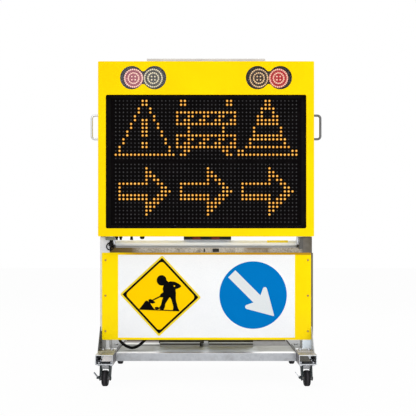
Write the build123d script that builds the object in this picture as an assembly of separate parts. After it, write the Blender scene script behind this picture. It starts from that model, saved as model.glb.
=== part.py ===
from build123d import *
import math
import os

# A trolley-mounted LED message sign that folds back over its own base, in millimetres.
# The origin is on the floor under the middle: +X is the reader's right, -Y the front, +Z up.

# Base frame, as wide as the display it carries
BASE_WIDTH = 1104
RAIL_LENGTH = 760
RAIL_WIDTH = 90
RAIL_HEIGHT = 50
RAIL_WALL = 4
BEAM_HEIGHT = 41
BEAM_DEPTH = 50
BEAM_WALL = 3
BEAM_INSET = 125
TRAY_THICKNESS = 4
STIFFENER_WIDTH = 50
STIFFENER_LENGTH = 36
STIFFENER_HEIGHT = 28
STIFFENER_INSET = 80
TIE_HOLE_RADIUS = 6.5
TIE_HOLE_INSET = 30

# Casters
CASTER_HEIGHT = 113
CASTER_INSET = 75
CASTER_TRAIL = 30
CASTER_PLATE_WIDTH = 80
CASTER_PLATE_LENGTH = 94
CASTER_PLATE_THICKNESS = 5
CASTER_PLATE_ROUND = 8
CASTER_BOLT_SPACING = 70
CASTER_BOLT_REACH = 31
CASTER_BOLT_RADIUS = 4
RACE_RADIUS = 25
RACE_HEIGHT = 6
KINGPIN_RADIUS = 6
KINGPIN_HEAD_RADIUS = 11
KINGPIN_HEAD_HEIGHT = 5
CROWN_LENGTH = 58
CROWN_THICKNESS = 4
FORK_SHEET = 3
FORK_EYE_RADIUS = 13
FORK_ROOM = 9
YOKE_SETBACK = 17
YOKE_CLEARANCE = 3.5
WHEEL_RADIUS = 40
WHEEL_WIDTH = 32
TREAD_ROUND = 10
HUB_RADIUS = 28
HUB_RIM = 4
HUB_WEB = 16
HUB_BOSS_RADIUS = 11
AXLE_RADIUS = 5
AXLE_HEAD_RADIUS = 8
AXLE_HEAD_HEIGHT = 2.5
PEDAL_LENGTH = 32
PEDAL_WIDTH = 26
PEDAL_SHEET = 3
PEDAL_SLOPE = 52
PEDAL_ROUND = 7
PEDAL_BARREL_RADIUS = 5
PEDAL_PIN_RADIUS = 2.5
PEDAL_RISE = 4
PEDAL_EAR_SHEET = 3

# Posts, gussets and upper beam
POST_WIDTH = 50
POST_DEPTH = 100
POST_WALL = 3
POST_HEIGHT = 587
POST_SETBACK = 180
FOOT_THICKNESS = 6
FOOT_BOLT_RADIUS = 5
FOOT_BOLT_SPACING = 44
FOOT_BOLT_REACH = 45
GUSSET_HEIGHT = 115
GUSSET_REACH = 90
GUSSET_SHEET = 4
UPPER_BEAM_HEIGHT = 50
UPPER_BEAM_DEPTH = 40
UPPER_BEAM_INSET = 2
UPPER_BEAM_DROP = 19
SLOT_SPANS = ((-13, -5), (34, 68))
SLOT_TOP = 5
SLOT_HEIGHT = 18
PAD_HEIGHT = 3
PAD_WIDTH = 46
PAD_EDGE = 2

# Sign board on the posts
BOARD_HEIGHT = 454
BOARD_THICKNESS = 3
BOARD_ROUND = 6
BOARD_DROP = 81
BOARD_SIDE_GAP = 3.5
BOARD_SHIFT = 2.5
BOARD_SCREW_SPACING = 185
BOARD_SCREW_RISE = 3
BOARD_SCREW_SHIFT = 3.5
BOARD_SCREW_RADIUS = 3
BOARD_SCREW_HEAD = 5
BOARD_SCREW_HEAD_HEIGHT = 3
WHITE_SIDE_BORDER = 84.5
WHITE_EDGE_BORDER = 11.5
FILM_THICKNESS = 1
WARNING_SIDE = 299
WARNING_OFFSET = 237
WARNING_RISE = 2
WARNING_TURN = 2.3
WARNING_ROUND = 8
DISC_RADIUS = 185
DISC_OFFSET = 245
DISC_RISE = 6

# Batteries
CASE_WIDTH = 245
CASE_DEPTH = 180
CASE_HEIGHT = 240
CASE_WALL = 4
CASE_SPACING = 269
CASE_SETBACK = 350
CASE_ROUND = 12
CASE_FOOT_HEIGHT = 18
CASE_FOOT_RADIUS = 14
LID_HEIGHT = 30
BATTERY_HEIGHT = 205
BATTERY_SIDE_ROOM = 6
TERMINAL_RADIUS = 8
TERMINAL_HEIGHT = 12

# Display box
MODULE_GAP = 0.5
MODULE_DEPTH = 20
MODULE_COLUMNS = 3
MODULE_ROWS = 2
WINDOW_MARGIN_X = 22.25
WINDOW_MARGIN_Z = 15
WINDOW_ROUND = 8
SIDE_BORDER = 40
TOP_BORDER = 171
BOTTOM_BORDER = 41
BOX_DEPTH = 100
BOX_ROUND = 6
SHELL_WALL = 3
SHELL_EDGE_ROUND = 2.4
SHELL_LIP = 20
REAR_SHEET = 3
RECESS = 25
BEZEL_LAND = 14
BAR_WIDTH = 40
BAR_THICKNESS = 6
SEAT_DEPTH = 20
SUPPLY_WIDTH = 230
SUPPLY_HEIGHT = 130
SUPPLY_DEPTH = 34
BOARD_SIDE = 200
CIRCUIT_THICKNESS = 3
CHIP_SIDE = 36
CHIP_HEIGHT = 9

# Warning lamps over the display
LAMP_INSET = 231
LAMP_DROP = 84
LAMP_HOLE_RADIUS = 60
LAMP_HOLE_SPACING = 116
LAMP_NECK_ROUND = 15
LAMP_RADIUS = 50
LAMP_SPACING = 101
LAMP_THICKNESS = 14
LAMP_CUP_DEPTH = 30
LAMP_CUP_WALL = 6
LAMP_CUP_FLOOR = 4
COVER_THICKNESS = 2.5
COVER_REBATE = 3

# Handles, top rail and fittings under the box
HANDLE_LENGTH = 134
HANDLE_REACH = 45
HANDLE_BAR_RADIUS = 6
HANDLE_BEND = 16
HANDLE_HEIGHT = 564
HANDLE_FLANGE_RADIUS = 12
HANDLE_FLANGE_HEIGHT = 4
TOP_RAIL_LENGTH = 612
TOP_RAIL_HEIGHT = 24
TOP_RAIL_DEPTH = 34
TOP_RAIL_SHEET = 4
GLAND_INSETS = (90, 111)
GLAND_RADIUS = 7.5
GLAND_LENGTH = 18
GLAND_NOSE_RADIUS = 6
CONNECTOR_INSET = 167
CONNECTOR_TOP_RADIUS = 6
CONNECTOR_END_RADIUS = 8.5
VENT_INSET = 222
VENT_RADIUS = 12
VENT_HEIGHT = 14
VENT_ROUND = 9

# Fold pivot
PIVOT_SETBACK = 40
PIVOT_DROP = 39
TUBE_RADIUS = 19
TUBE_WALL = 3
TUBE_END_ROOM = 1
BUSH_RADIUS = 25
BUSH_LENGTH = 12
ARM_SIDE_ROOM = 16
ARM_SHEET = 10
ARM_EYE_RADIUS = 23
ARM_WEB = 28
ARM_LENGTH = 200
ARM_FLANGE_WIDTH = 56
ARM_FLANGE_SHEET = 6
ARM_BOLT_RADIUS = 4
ARM_BOLT_EDGE = 13
ARM_BOLT_SPREAD = 36

# Control box behind the display
CONTROL_WIDTH = 248
CONTROL_HEIGHT = 196
CONTROL_DEPTH = 80
CONTROL_DROP = 18
CONTROL_SHIFT = 7.5
CONTROL_WALL = 3
CAP_WIDTH = 42
CAP_HEIGHT = 13
CAP_DEPTH = 4
CAP_OFFSET = 50
CAP_ROUND = 2
ROCKER_OFFSET = 45
ROCKER_RISE = 60
ROCKER_WIDTH = 20
ROCKER_HEIGHT = 30
ROCKER_INSIDE = 6
ROCKER_OUTSIDE = 9
ROCKER_TILT = 10
ROCKER_COLLAR = 4
ROCKER_COLLAR_DEPTH = 9
ROCKER_COLLAR_RIM = 2
ROCKER_AXIS_DEPTH = 3.5
TRUNNION_RADIUS = 2
TRUNNION_LENGTH = 3

# Lock plunger on the left post
PLUNGER_OVERHANG = 6
PLUNGER_REACH = 16
PLUNGER_RADIUS = 4.5
PLUNGER_TRAVEL = 10
PLUNGER_GAP = 3
PLUNGER_TAIL = 28
GUIDE_WIDTH = 47
GUIDE_DEPTH = 30
GUIDE_HEIGHT = 18
GUIDE_GAP = 1
KEEPER_SHEET = 18
KEEPER_FRONT = 26
KEEPER_BACK = 14
KEEPER_HEIGHT = 64
COLLAR_RADIUS = 9.5
COLLAR_HEIGHT = 20
RING_RADIUS = 18.5
RING_WIRE = 3.2
RING_BITE = 1

# Screws and bolts of the display
REAR_SCREW_RADIUS = 2.5
REAR_SCREW_HEAD = 5
REAR_SCREW_HEAD_HEIGHT = 3
REAR_SCREW_COLUMNS = 4
REAR_SCREW_ROWS = 5
SHELL_SCREW_INSET = 66
SHELL_SCREW_DROP = 54

# Hexagon heads and nuts, as shares of the bolt's radius
HEX_FLAT_RATIO = 1.65
HEX_HEAD_RATIO = 1.3
HEX_NUT_RATIO = 1.6

# Power cable between the left post and the left battery case
CABLE_RADIUS = 6.5
CABLE_GLAND_RADIUS = 11
CABLE_GLAND_NOSE_RADIUS = 9.5
CABLE_GLAND_LENGTH = 20
CABLE_GLAND_NOSE = 8
CABLE_POST_HEIGHT = 167
CABLE_POST_DEPTH = 50
CABLE_CASE_HEIGHT = 128
CABLE_CASE_INSET = 45
CABLE_FIRST_RUN = 27
CABLE_LAST_RUN = 25
CABLE_ARC_SHARE = 0.45

# Clearances
RUNNING_FIT = 0.06
SEAT_GAP = 0.3
SWIVEL_GAP = 0.4
SIDE_GAP = 2
HOLE_ROOM = 0.25

# Levels and faces that several pieces share
rail_bottom = CASTER_HEIGHT
rail_top = rail_bottom + RAIL_HEIGHT
rail_x = (BASE_WIDTH - RAIL_WIDTH) / 2
rail_inner = BASE_WIDTH / 2 - RAIL_WIDTH
rail_end = RAIL_LENGTH / 2
beam_top = rail_bottom + BEAM_HEIGHT
beam_outer = rail_end - BEAM_INSET
beam_inner = beam_outer - BEAM_DEPTH

post_x = (BASE_WIDTH - POST_WIDTH) / 2
post_inner = BASE_WIDTH / 2 - POST_WIDTH
post_front = -rail_end + POST_SETBACK
post_back = post_front + POST_DEPTH
post_top = rail_top + POST_HEIGHT
foot_top = rail_top + FOOT_THICKNESS

board_width = BASE_WIDTH - 2 * (GUSSET_SHEET + BOARD_SIDE_GAP)
board_middle = post_top - BOARD_DROP - BOARD_HEIGHT / 2
board_front = post_front - BOARD_THICKNESS
white_front = board_front - FILM_THICKNESS

box_width = BASE_WIDTH
window_width = box_width - 2 * SIDE_BORDER
modules_width = window_width - 2 * WINDOW_MARGIN_X
module_pitch = (modules_width + MODULE_GAP) / MODULE_COLUMNS
module_size = module_pitch - MODULE_GAP
modules_height = MODULE_ROWS * module_pitch - MODULE_GAP
window_height = modules_height + 2 * WINDOW_MARGIN_Z
box_height = window_height + TOP_BORDER + BOTTOM_BORDER
box_bottom = post_top + PAD_HEIGHT
box_top = box_bottom + box_height
box_back = post_front + SEAT_DEPTH
box_front = box_back - BOX_DEPTH
box_middle_y = (box_front + box_back) / 2
box_middle_z = (box_bottom + box_top) / 2
window_z = box_bottom + BOTTOM_BORDER + window_height / 2
shell_back = box_back - REAR_SHEET
module_face = box_front + RECESS
module_back = module_face + MODULE_DEPTH
bar_back = module_back + BAR_THICKNESS
lamp_x = box_width / 2 - LAMP_INSET
lamp_z = box_top - LAMP_DROP

pivot_y = box_back + PIVOT_SETBACK
pivot_z = box_bottom - PIVOT_DROP
arm_outer = post_inner - ARM_SIDE_ROOM
arm_inner = arm_outer - ARM_SHEET

case_front = -rail_end + CASE_SETBACK
case_middle_y = case_front + CASE_DEPTH / 2
case_bottom = beam_top + CASE_FOOT_HEIGHT
case_top = case_bottom + CASE_HEIGHT
case_outer = (CASE_SPACING + CASE_WIDTH) / 2

wheel_z = WHEEL_RADIUS
caster_plate_bottom = CASTER_HEIGHT - CASTER_PLATE_THICKNESS
race_bottom = caster_plate_bottom - RACE_HEIGHT
crown_top = race_bottom - SWIVEL_GAP
crown_bottom = crown_top - CROWN_THICKNESS
leg_inner = WHEEL_WIDTH / 2 + FORK_ROOM
leg_outer = leg_inner + FORK_SHEET
pedal_x = -(leg_outer + AXLE_HEAD_HEIGHT + PEDAL_BARREL_RADIUS + SIDE_GAP)
pedal_z = wheel_z + PEDAL_RISE

plunger_x = -(post_inner - PLUNGER_OVERHANG)
plunger_y = post_front - PLUNGER_REACH
plunger_top = box_bottom - PLUNGER_GAP
guide_top = box_bottom - GUIDE_GAP
guide_bottom = guide_top - GUIDE_HEIGHT

control_bottom = box_bottom - CONTROL_DROP
control_back = box_back + CONTROL_DEPTH
control_face = control_back + CONTROL_WALL
rocker_y = control_face - ROCKER_AXIS_DEPTH
rocker_z = control_bottom + CONTROL_HEIGHT / 2 + ROCKER_RISE

SIDES = (-1, 1)


def block(x0, x1, y0, y1, z0, z1):
    """A box between two corners."""
    centre = Pos((x0 + x1) / 2, (y0 + y1) / 2, (z0 + z1) / 2)
    return centre * Box(abs(x1 - x0), abs(y1 - y0), abs(z1 - z0))


def rod(radius, start, end, end_radius=None):
    """A round bar, or a cone if end_radius is given, from one point to another."""
    run = Vector(*end) - Vector(*start)
    plane = Plane(origin=start, z_dir=run.normalized())
    base = (Align.CENTER, Align.CENTER, Align.MIN)
    if end_radius is None:
        return plane * Cylinder(radius, run.length, align=base)
    return plane * Cone(radius, end_radius, run.length, align=base)


def hexagon(flat_radius, start, end):
    """A hexagonal head or nut from one point to another."""
    run = Vector(*end) - Vector(*start)
    plane = Plane(origin=start, z_dir=run.normalized())
    return extrude(plane * RegularPolygon(flat_radius, 6, major_radius=False), run.length)


def slab(outline, x, z, y0, y1):
    """An outline drawn as seen from the front, filled from y0 back to y1."""
    plane = Plane(origin=(x, y1, z), x_dir=(1, 0, 0), z_dir=(0, -1, 0))
    return extrude(plane * outline, y1 - y0, dir=(0, -1, 0))


def side_plate(outline, x0, x1):
    """An outline drawn in (Y, Z), filled from x0 to x1."""
    plane = Plane(origin=(x0, 0, 0), x_dir=(0, 1, 0), z_dir=(1, 0, 0))
    return extrude(plane * outline, x1 - x0, dir=(1, 0, 0))


def bolt(radius, under_head, under_nut):
    """A hexagon bolt and its nut, clamped on what lies between two points."""
    start, end = Vector(*under_head), Vector(*under_nut)
    outward = (start - end).normalized()
    made = hexagon(HEX_FLAT_RATIO * radius, start, start + outward * HEX_HEAD_RATIO * radius)
    made += rod(radius, start, end)
    return made + hexagon(HEX_FLAT_RATIO * radius, end, end - outward * HEX_NUT_RATIO * radius)


def group(solids):
    """Separate solids that share one node."""
    return Compound(children=list(solids))


# Casters: each is built about its own swivel axis, with the wheel trailing towards -Y.


def caster_place(name):
    """Where a caster stands: its swivel axis, and which way its wheel trails."""
    front, left = name.startswith("front"), name.endswith("left")
    y = rail_end - CASTER_INSET
    x = -rail_x if left else rail_x
    return Pos(x, -y if front else y, 0) * Rot(0, 0, 0 if front else 180)


CASTERS = ("front_left", "front_right", "rear_left", "rear_right")


def caster_bolt_points():
    """The four bolts of one caster plate, from its swivel axis."""
    half = CASTER_BOLT_SPACING / 2
    return [(x, y) for x in (-CASTER_BOLT_REACH, CASTER_BOLT_REACH) for y in (-half, half)]


def caster_plate():
    """Top plate with its ball race and the kingpin that holds the fork."""
    half_x, half_y = CASTER_PLATE_WIDTH / 2, CASTER_PLATE_LENGTH / 2
    plate = block(-half_x, half_x, -half_y, half_y, caster_plate_bottom, CASTER_HEIGHT)
    plate = fillet(plate.edges().filter_by(Axis.Z), CASTER_PLATE_ROUND)
    head_top = crown_bottom - SWIVEL_GAP
    plate += rod(RACE_RADIUS, (0, 0, race_bottom), (0, 0, caster_plate_bottom))
    plate += rod(KINGPIN_RADIUS, (0, 0, head_top), (0, 0, race_bottom))
    plate += rod(KINGPIN_HEAD_RADIUS, (0, 0, head_top - KINGPIN_HEAD_HEIGHT), (0, 0, head_top))
    for x, y in caster_bolt_points():
        plate -= rod(CASTER_BOLT_RADIUS + HOLE_ROOM, (x, y, caster_plate_bottom), (x, y, CASTER_HEIGHT))
    return plate


def caster_bolts():
    """Bolts from under the plate, with their nuts inside the rail."""
    floor = CASTER_HEIGHT + RAIL_WALL
    return [bolt(CASTER_BOLT_RADIUS, (x, y, caster_plate_bottom), (x, y, floor))
            for x, y in caster_bolt_points()]


def fork_leg(x0, x1):
    """One side of the fork, tapering from the crown to the axle's eye."""
    half = CROWN_LENGTH / 2
    eye = Pos(-CASTER_TRAIL, wheel_z) * Circle(FORK_EYE_RADIUS)
    web = Polygon(
        (-half, crown_top),
        (-CASTER_TRAIL - FORK_EYE_RADIUS, wheel_z),
        (-CASTER_TRAIL + FORK_EYE_RADIUS, wheel_z),
        (half, crown_top),
        align=None,
    )
    return side_plate(eye + web, x0, x1)


def pedal_pin_ends():
    """The two ends of the brake pedal's pin, outside its ears."""
    half = PEDAL_WIDTH / 2 + SEAT_GAP + PEDAL_EAR_SHEET
    return (pedal_x, -CASTER_TRAIL - half, pedal_z), (pedal_x, -CASTER_TRAIL + half, pedal_z)


def caster_fork(braked):
    """Pressed fork with its riveted axle, and the ears and pin of a brake pedal if braked."""
    half = CROWN_LENGTH / 2
    fork = block(-leg_outer, leg_outer, -half, half, crown_bottom, crown_top)
    fork += fork_leg(-leg_outer, -leg_inner)
    fork += fork_leg(leg_inner, leg_outer)
    fork += block(-leg_inner, leg_inner, -YOKE_SETBACK, -YOKE_SETBACK + FORK_SHEET,
                  wheel_z + WHEEL_RADIUS + YOKE_CLEARANCE, crown_bottom)
    fork -= rod(KINGPIN_RADIUS + RUNNING_FIT, (0, 0, crown_bottom), (0, 0, crown_top))
    if braked:
        near, far = pedal_pin_ends()
        for y in (near[1], far[1] - PEDAL_EAR_SHEET):
            ear = block(pedal_x, -leg_outer, y, y + PEDAL_EAR_SHEET,
                        pedal_z - PEDAL_BARREL_RADIUS, pedal_z + PEDAL_BARREL_RADIUS)
            end = (pedal_x, y + PEDAL_EAR_SHEET, pedal_z)
            fork += ear + rod(PEDAL_BARREL_RADIUS, (pedal_x, y, pedal_z), end)
        fork += rod(PEDAL_PIN_RADIUS, near, far)
    axle = rod(AXLE_RADIUS, (-leg_outer, -CASTER_TRAIL, wheel_z), (leg_outer, -CASTER_TRAIL, wheel_z))
    fork -= rod(AXLE_RADIUS + RUNNING_FIT, (-leg_outer, -CASTER_TRAIL, wheel_z),
                (leg_outer, -CASTER_TRAIL, wheel_z))
    for side in SIDES:
        inner = (side * leg_outer, -CASTER_TRAIL, wheel_z)
        outer = (side * (leg_outer + AXLE_HEAD_HEIGHT), -CASTER_TRAIL, wheel_z)
        axle += rod(AXLE_HEAD_RADIUS, inner, outer)
    return group([fork.solid(), axle.solid()])


def wheel_ring(outer, inner, width):
    """A ring about the wheel's axle."""
    start, end = (-width / 2, -CASTER_TRAIL, wheel_z), (width / 2, -CASTER_TRAIL, wheel_z)
    return rod(outer, start, end) - rod(inner, start, end)


def caster_tyre():
    """Solid rubber tread with rounded shoulders."""
    tyre = wheel_ring(WHEEL_RADIUS, HUB_RADIUS + RUNNING_FIT, WHEEL_WIDTH)
    circles = tyre.edges().filter_by(GeomType.CIRCLE)
    return fillet(circles.sort_by(SortBy.RADIUS)[-2:], TREAD_ROUND)


def caster_hub():
    """Wheel centre: rim, web and the boss that turns on the axle."""
    bore = AXLE_RADIUS + RUNNING_FIT
    hub = wheel_ring(HUB_RADIUS, HUB_RADIUS - HUB_RIM, WHEEL_WIDTH)
    hub += wheel_ring(HUB_RADIUS - HUB_RIM, bore, HUB_WEB)
    return hub + wheel_ring(HUB_BOSS_RADIUS, bore, WHEEL_WIDTH + 2 * (FORK_ROOM - SEAT_GAP))


def brake_pedal():
    """Stamped pedal that slopes up and out from its barrel beside the wheel."""
    half = PEDAL_WIDTH / 2
    near, far = (pedal_x, -CASTER_TRAIL - half, pedal_z), (pedal_x, -CASTER_TRAIL + half, pedal_z)
    tread = Box(PEDAL_LENGTH, PEDAL_WIDTH, PEDAL_SHEET, align=(Align.MAX, Align.CENTER, Align.CENTER))
    corners = tread.edges().filter_by(Axis.Z).group_by(Axis.X)[0]
    tread = fillet(corners, PEDAL_ROUND)
    pedal = rod(PEDAL_BARREL_RADIUS, near, far)
    pedal += Pos(pedal_x, -CASTER_TRAIL, pedal_z) * Rot(0, PEDAL_SLOPE, 0) * tread
    return pedal - rod(PEDAL_PIN_RADIUS + RUNNING_FIT, near, far)


# Base frame


def tie_hole_points(side):
    """Tie-down holes through the top of one rail, near its ends."""
    y = rail_end - TIE_HOLE_INSET
    return [(side * rail_x, -y), (side * rail_x, y)]


def foot_bolt_points(side):
    """The four bolts through one post's foot and the rail under it."""
    half = FOOT_BOLT_SPACING / 2
    rows = (post_front - FOOT_BOLT_REACH, post_back + FOOT_BOLT_REACH)
    return [(side * rail_x + x, y) for x in (-half, half) for y in rows]


def rail(side):
    """Rectangular tube with open ends, stiffeners under its top, and its tie-down and bolt holes."""
    half = RAIL_WIDTH / 2
    middle = side * rail_x
    made = block(middle - half, middle + half, -rail_end, rail_end, rail_bottom, rail_top)
    made -= block(middle - half + RAIL_WALL, middle + half - RAIL_WALL, -rail_end, rail_end,
                  rail_bottom + RAIL_WALL, rail_top - RAIL_WALL)
    ceiling = rail_top - RAIL_WALL
    for end in SIDES:
        y = end * (rail_end - STIFFENER_INSET)
        made += block(middle - STIFFENER_WIDTH / 2, middle + STIFFENER_WIDTH / 2, y - end * STIFFENER_LENGTH, y,
                      ceiling - STIFFENER_HEIGHT, ceiling)
    for x, y in tie_hole_points(side):
        made -= rod(TIE_HOLE_RADIUS, (x, y, rail_top - RAIL_WALL), (x, y, rail_top))
    for x, y in foot_bolt_points(side):
        made -= rod(FOOT_BOLT_RADIUS + HOLE_ROOM, (x, y, rail_top - RAIL_WALL), (x, y, rail_top))
    for end in SIDES:
        for x, y in caster_bolt_points():
            at = (middle + x, end * (rail_end - CASTER_INSET) + y)
            made -= rod(CASTER_BOLT_RADIUS + HOLE_ROOM, (*at, rail_bottom), (*at, rail_bottom + RAIL_WALL))
    return made


def cross_beam(y0, y1):
    """Rectangular tube between the rails, a little lower than they are."""
    tube = block(-rail_inner, rail_inner, y0, y1, rail_bottom, beam_top)
    return tube - block(-rail_inner, rail_inner, y0 + BEAM_WALL, y1 - BEAM_WALL,
                        rail_bottom + BEAM_WALL, beam_top - BEAM_WALL)


def battery_tray():
    """Flat tray let in flush between the beams and the rails."""
    return block(-rail_inner, rail_inner, -beam_inner, beam_inner, beam_top - TRAY_THICKNESS, beam_top)


def board_screw_points(side):
    """The three screws that hold the board to one post."""
    middle = board_middle + BOARD_SCREW_RISE
    return [(side * post_x + BOARD_SCREW_SHIFT, middle + n * BOARD_SCREW_SPACING) for n in (-1, 0, 1)]


def post(side):
    """Capped tube on a foot plate that runs out under both gussets."""
    outer, inner = side * BASE_WIDTH / 2, side * post_inner
    made = block(inner, outer, post_front, post_back, rail_top, post_top)
    made -= block(inner + side * POST_WALL, outer - side * POST_WALL, post_front + POST_WALL,
                  post_back - POST_WALL, foot_top, post_top - POST_WALL)
    made += block(outer - side * (RAIL_WIDTH - RAIL_WALL), outer, post_front - GUSSET_REACH,
                  post_back + GUSSET_REACH, rail_top, foot_top)
    for x, y in foot_bolt_points(side):
        made -= rod(FOOT_BOLT_RADIUS + HOLE_ROOM, (x, y, rail_top), (x, y, foot_top))
    for x, z in board_screw_points(side):
        made -= rod(BOARD_SCREW_RADIUS + HOLE_ROOM, (x, post_front, z), (x, post_front + POST_WALL, z))
    return made


def gussets():
    """Triangular stays before and behind each post, flush with its outer face."""
    made = []
    for side in SIDES:
        outer = side * BASE_WIDTH / 2
        inner = outer - side * GUSSET_SHEET
        for y, run in ((post_front, -GUSSET_REACH), (post_back, GUSSET_REACH)):
            points = [(y, foot_top), (y + run, foot_top), (y, foot_top + GUSSET_HEIGHT)]
            made.append(side_plate(Polygon(*points, align=None), min(inner, outer), max(inner, outer)))
    return group(made)


def upper_beam():
    """Rectangular tube between the posts, behind the board's top edge, with slots in its front."""
    y0 = post_front + UPPER_BEAM_INSET
    y1 = y0 + UPPER_BEAM_DEPTH
    z1 = pivot_z - UPPER_BEAM_DROP
    z0 = z1 - UPPER_BEAM_HEIGHT
    tube = block(-post_inner, post_inner, y0, y1, z0, z1)
    for x0, x1 in SLOT_SPANS:
        tube -= block(x0, x1, y0, y0 + BEAM_WALL, z1 - SLOT_TOP - SLOT_HEIGHT, z1 - SLOT_TOP)
    return tube - block(-post_inner, post_inner, y0 + BEAM_WALL, y1 - BEAM_WALL, z0 + BEAM_WALL, z1 - BEAM_WALL)


def frame_bolts():
    """Foot bolts with their nuts, and every caster's bolts."""
    made = []
    under = rail_top - RAIL_WALL
    for side in SIDES:
        for x, y in foot_bolt_points(side):
            made.append(bolt(FOOT_BOLT_RADIUS, (x, y, foot_top), (x, y, under)))
    for name in CASTERS:
        made += [caster_place(name) * one for one in caster_bolts()]
    return group(made)


def rest_pads():
    """Rubber seats on the posts that the upright display's rear edge stands on."""
    made = []
    for side in SIDES:
        inner = side * (post_inner + PAD_EDGE)
        made.append(block(inner, inner + side * PAD_WIDTH, post_front + PAD_EDGE, box_back - SIDE_GAP,
                          post_top, box_bottom - SEAT_GAP))
    return group(made)


def pivot_bushes():
    """Flanged bushes on the posts' inner faces that the fold tube turns in."""
    made = []
    for side in SIDES:
        start = (side * post_inner, pivot_y, pivot_z)
        end = (side * (post_inner - BUSH_LENGTH), pivot_y, pivot_z)
        made.append(rod(BUSH_RADIUS, start, end) - rod(TUBE_RADIUS + RUNNING_FIT, start, end))
    return group(made)


# Sign board


def sign_board():
    """Painted sheet on the fronts of the posts."""
    outline = RectangleRounded(board_width, BOARD_HEIGHT, BOARD_ROUND)
    made = slab(outline, BOARD_SHIFT, board_middle, board_front, post_front)
    for side in SIDES:
        for x, z in board_screw_points(side):
            made -= rod(BOARD_SCREW_RADIUS + HOLE_ROOM, (x, board_front, z), (x, post_front, z))
    return made


def white_sheet():
    """Reflective white sheet that leaves a border of the board."""
    outline = Rectangle(board_width - 2 * WHITE_SIDE_BORDER, BOARD_HEIGHT - 2 * WHITE_EDGE_BORDER)
    return slab(outline, BOARD_SHIFT, board_middle, white_front, board_front)


def roadworks_sign():
    """Diamond warning plate, stuck on a little out of true."""
    outline = Rot(0, 0, 45 - WARNING_TURN) * RectangleRounded(WARNING_SIDE, WARNING_SIDE, WARNING_ROUND)
    z = board_middle + WARNING_RISE
    return slab(outline, -WARNING_OFFSET, z, white_front - FILM_THICKNESS, white_front)


def direction_sign():
    """Round keep-this-side plate."""
    z = board_middle + DISC_RISE
    return slab(Circle(DISC_RADIUS), DISC_OFFSET, z, white_front - FILM_THICKNESS, white_front)


def board_screws():
    """Pan-head screws through the board into the posts."""
    made = []
    for side in SIDES:
        for x, z in board_screw_points(side):
            screw = rod(BOARD_SCREW_RADIUS, (x, board_front, z), (x, post_front + 2 * POST_WALL, z))
            head_front = board_front - BOARD_SCREW_HEAD_HEIGHT
            made.append(screw + rod(BOARD_SCREW_HEAD, (x, board_front, z), (x, head_front, z)))
    return group(made)


# Batteries


def on_cases(build):
    """One copy of a piece for each battery case, built about the case's middle."""
    return [Pos(side * CASE_SPACING / 2, case_middle_y, 0) * build() for side in SIDES]


def battery_tub():
    """Open moulded case on four feet."""
    outer = RectangleRounded(CASE_WIDTH, CASE_DEPTH, CASE_ROUND)
    inner = RectangleRounded(CASE_WIDTH - 2 * CASE_WALL, CASE_DEPTH - 2 * CASE_WALL, CASE_ROUND - CASE_WALL)
    tub = extrude(Pos(0, 0, case_bottom) * outer, CASE_HEIGHT)
    tub -= extrude(Pos(0, 0, case_bottom + CASE_WALL) * inner, CASE_HEIGHT)
    spread_x, spread_y = CASE_WIDTH / 2 - 2 * CASE_FOOT_RADIUS, CASE_DEPTH / 2 - 2 * CASE_FOOT_RADIUS
    for x in (-spread_x, spread_x):
        for y in (-spread_y, spread_y):
            tub += rod(CASE_FOOT_RADIUS, (x, y, beam_top), (x, y, case_bottom))
    return tub


def battery_lid():
    """Lid that rests on the rim, with a skirt outside it."""
    skirt = CASE_WALL
    width, depth = CASE_WIDTH + 2 * (SEAT_GAP + skirt), CASE_DEPTH + 2 * (SEAT_GAP + skirt)
    room = CASE_ROUND + SEAT_GAP
    outer = RectangleRounded(width, depth, room + skirt)
    inner = RectangleRounded(width - 2 * skirt, depth - 2 * skirt, room)
    lid = extrude(Pos(0, 0, case_top + CASE_WALL - LID_HEIGHT) * outer, LID_HEIGHT)
    return lid - extrude(Pos(0, 0, case_top - LID_HEIGHT) * inner, LID_HEIGHT)


def battery():
    """Sealed battery on the tub's floor, with two terminals."""
    half_x = CASE_WIDTH / 2 - CASE_WALL - BATTERY_SIDE_ROOM
    half_y = CASE_DEPTH / 2 - CASE_WALL - BATTERY_SIDE_ROOM
    floor = case_bottom + CASE_WALL
    top = floor + BATTERY_HEIGHT
    made = block(-half_x, half_x, -half_y, half_y, floor, top)
    for x in (-half_x / 2, half_x / 2):
        made += rod(TERMINAL_RADIUS, (x, 0, top), (x, 0, top + TERMINAL_HEIGHT))
    return made


# Display box


def window_outline(margin_x, margin_z, corner):
    """The display window, widened by margins."""
    return RectangleRounded(window_width + 2 * margin_x, window_height + 2 * margin_z, corner)


def pair_outline(growth=0):
    """Two circles side by side with a rounded neck between them, as one lamp opening, grown evenly."""
    radius, half = LAMP_HOLE_RADIUS + growth, LAMP_HOLE_SPACING / 2
    neck = LAMP_NECK_ROUND - growth
    rise = math.sqrt((radius + neck) ** 2 - half**2)
    share = radius / (radius + neck)
    x, z = half * (1 - share), rise * share
    return make_face([
        ThreePointArc((x, z), (0, rise - neck), (-x, z)),
        ThreePointArc((-x, z), (-half - radius, 0), (-x, -z)),
        ThreePointArc((-x, -z), (0, neck - rise), (x, -z)),
        ThreePointArc((x, -z), (half + radius, 0), (x, z)),
    ])


def rear_screw_points():
    """Screws round the rear panel's edge, in the middle of the shell's lip."""
    half_x, half_z = (box_width - SHELL_LIP) / 2, (box_height - SHELL_LIP) / 2
    across, up = REAR_SCREW_COLUMNS - 1, REAR_SCREW_ROWS - 1
    points = [(half_x * (2 * n / across - 1), side * half_z) for n in range(across + 1) for side in SIDES]
    points += [(side * half_x, half_z * (2 * n / up - 1)) for n in range(1, up) for side in SIDES]
    return [(x, box_middle_z + z) for x, z in points]


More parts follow.
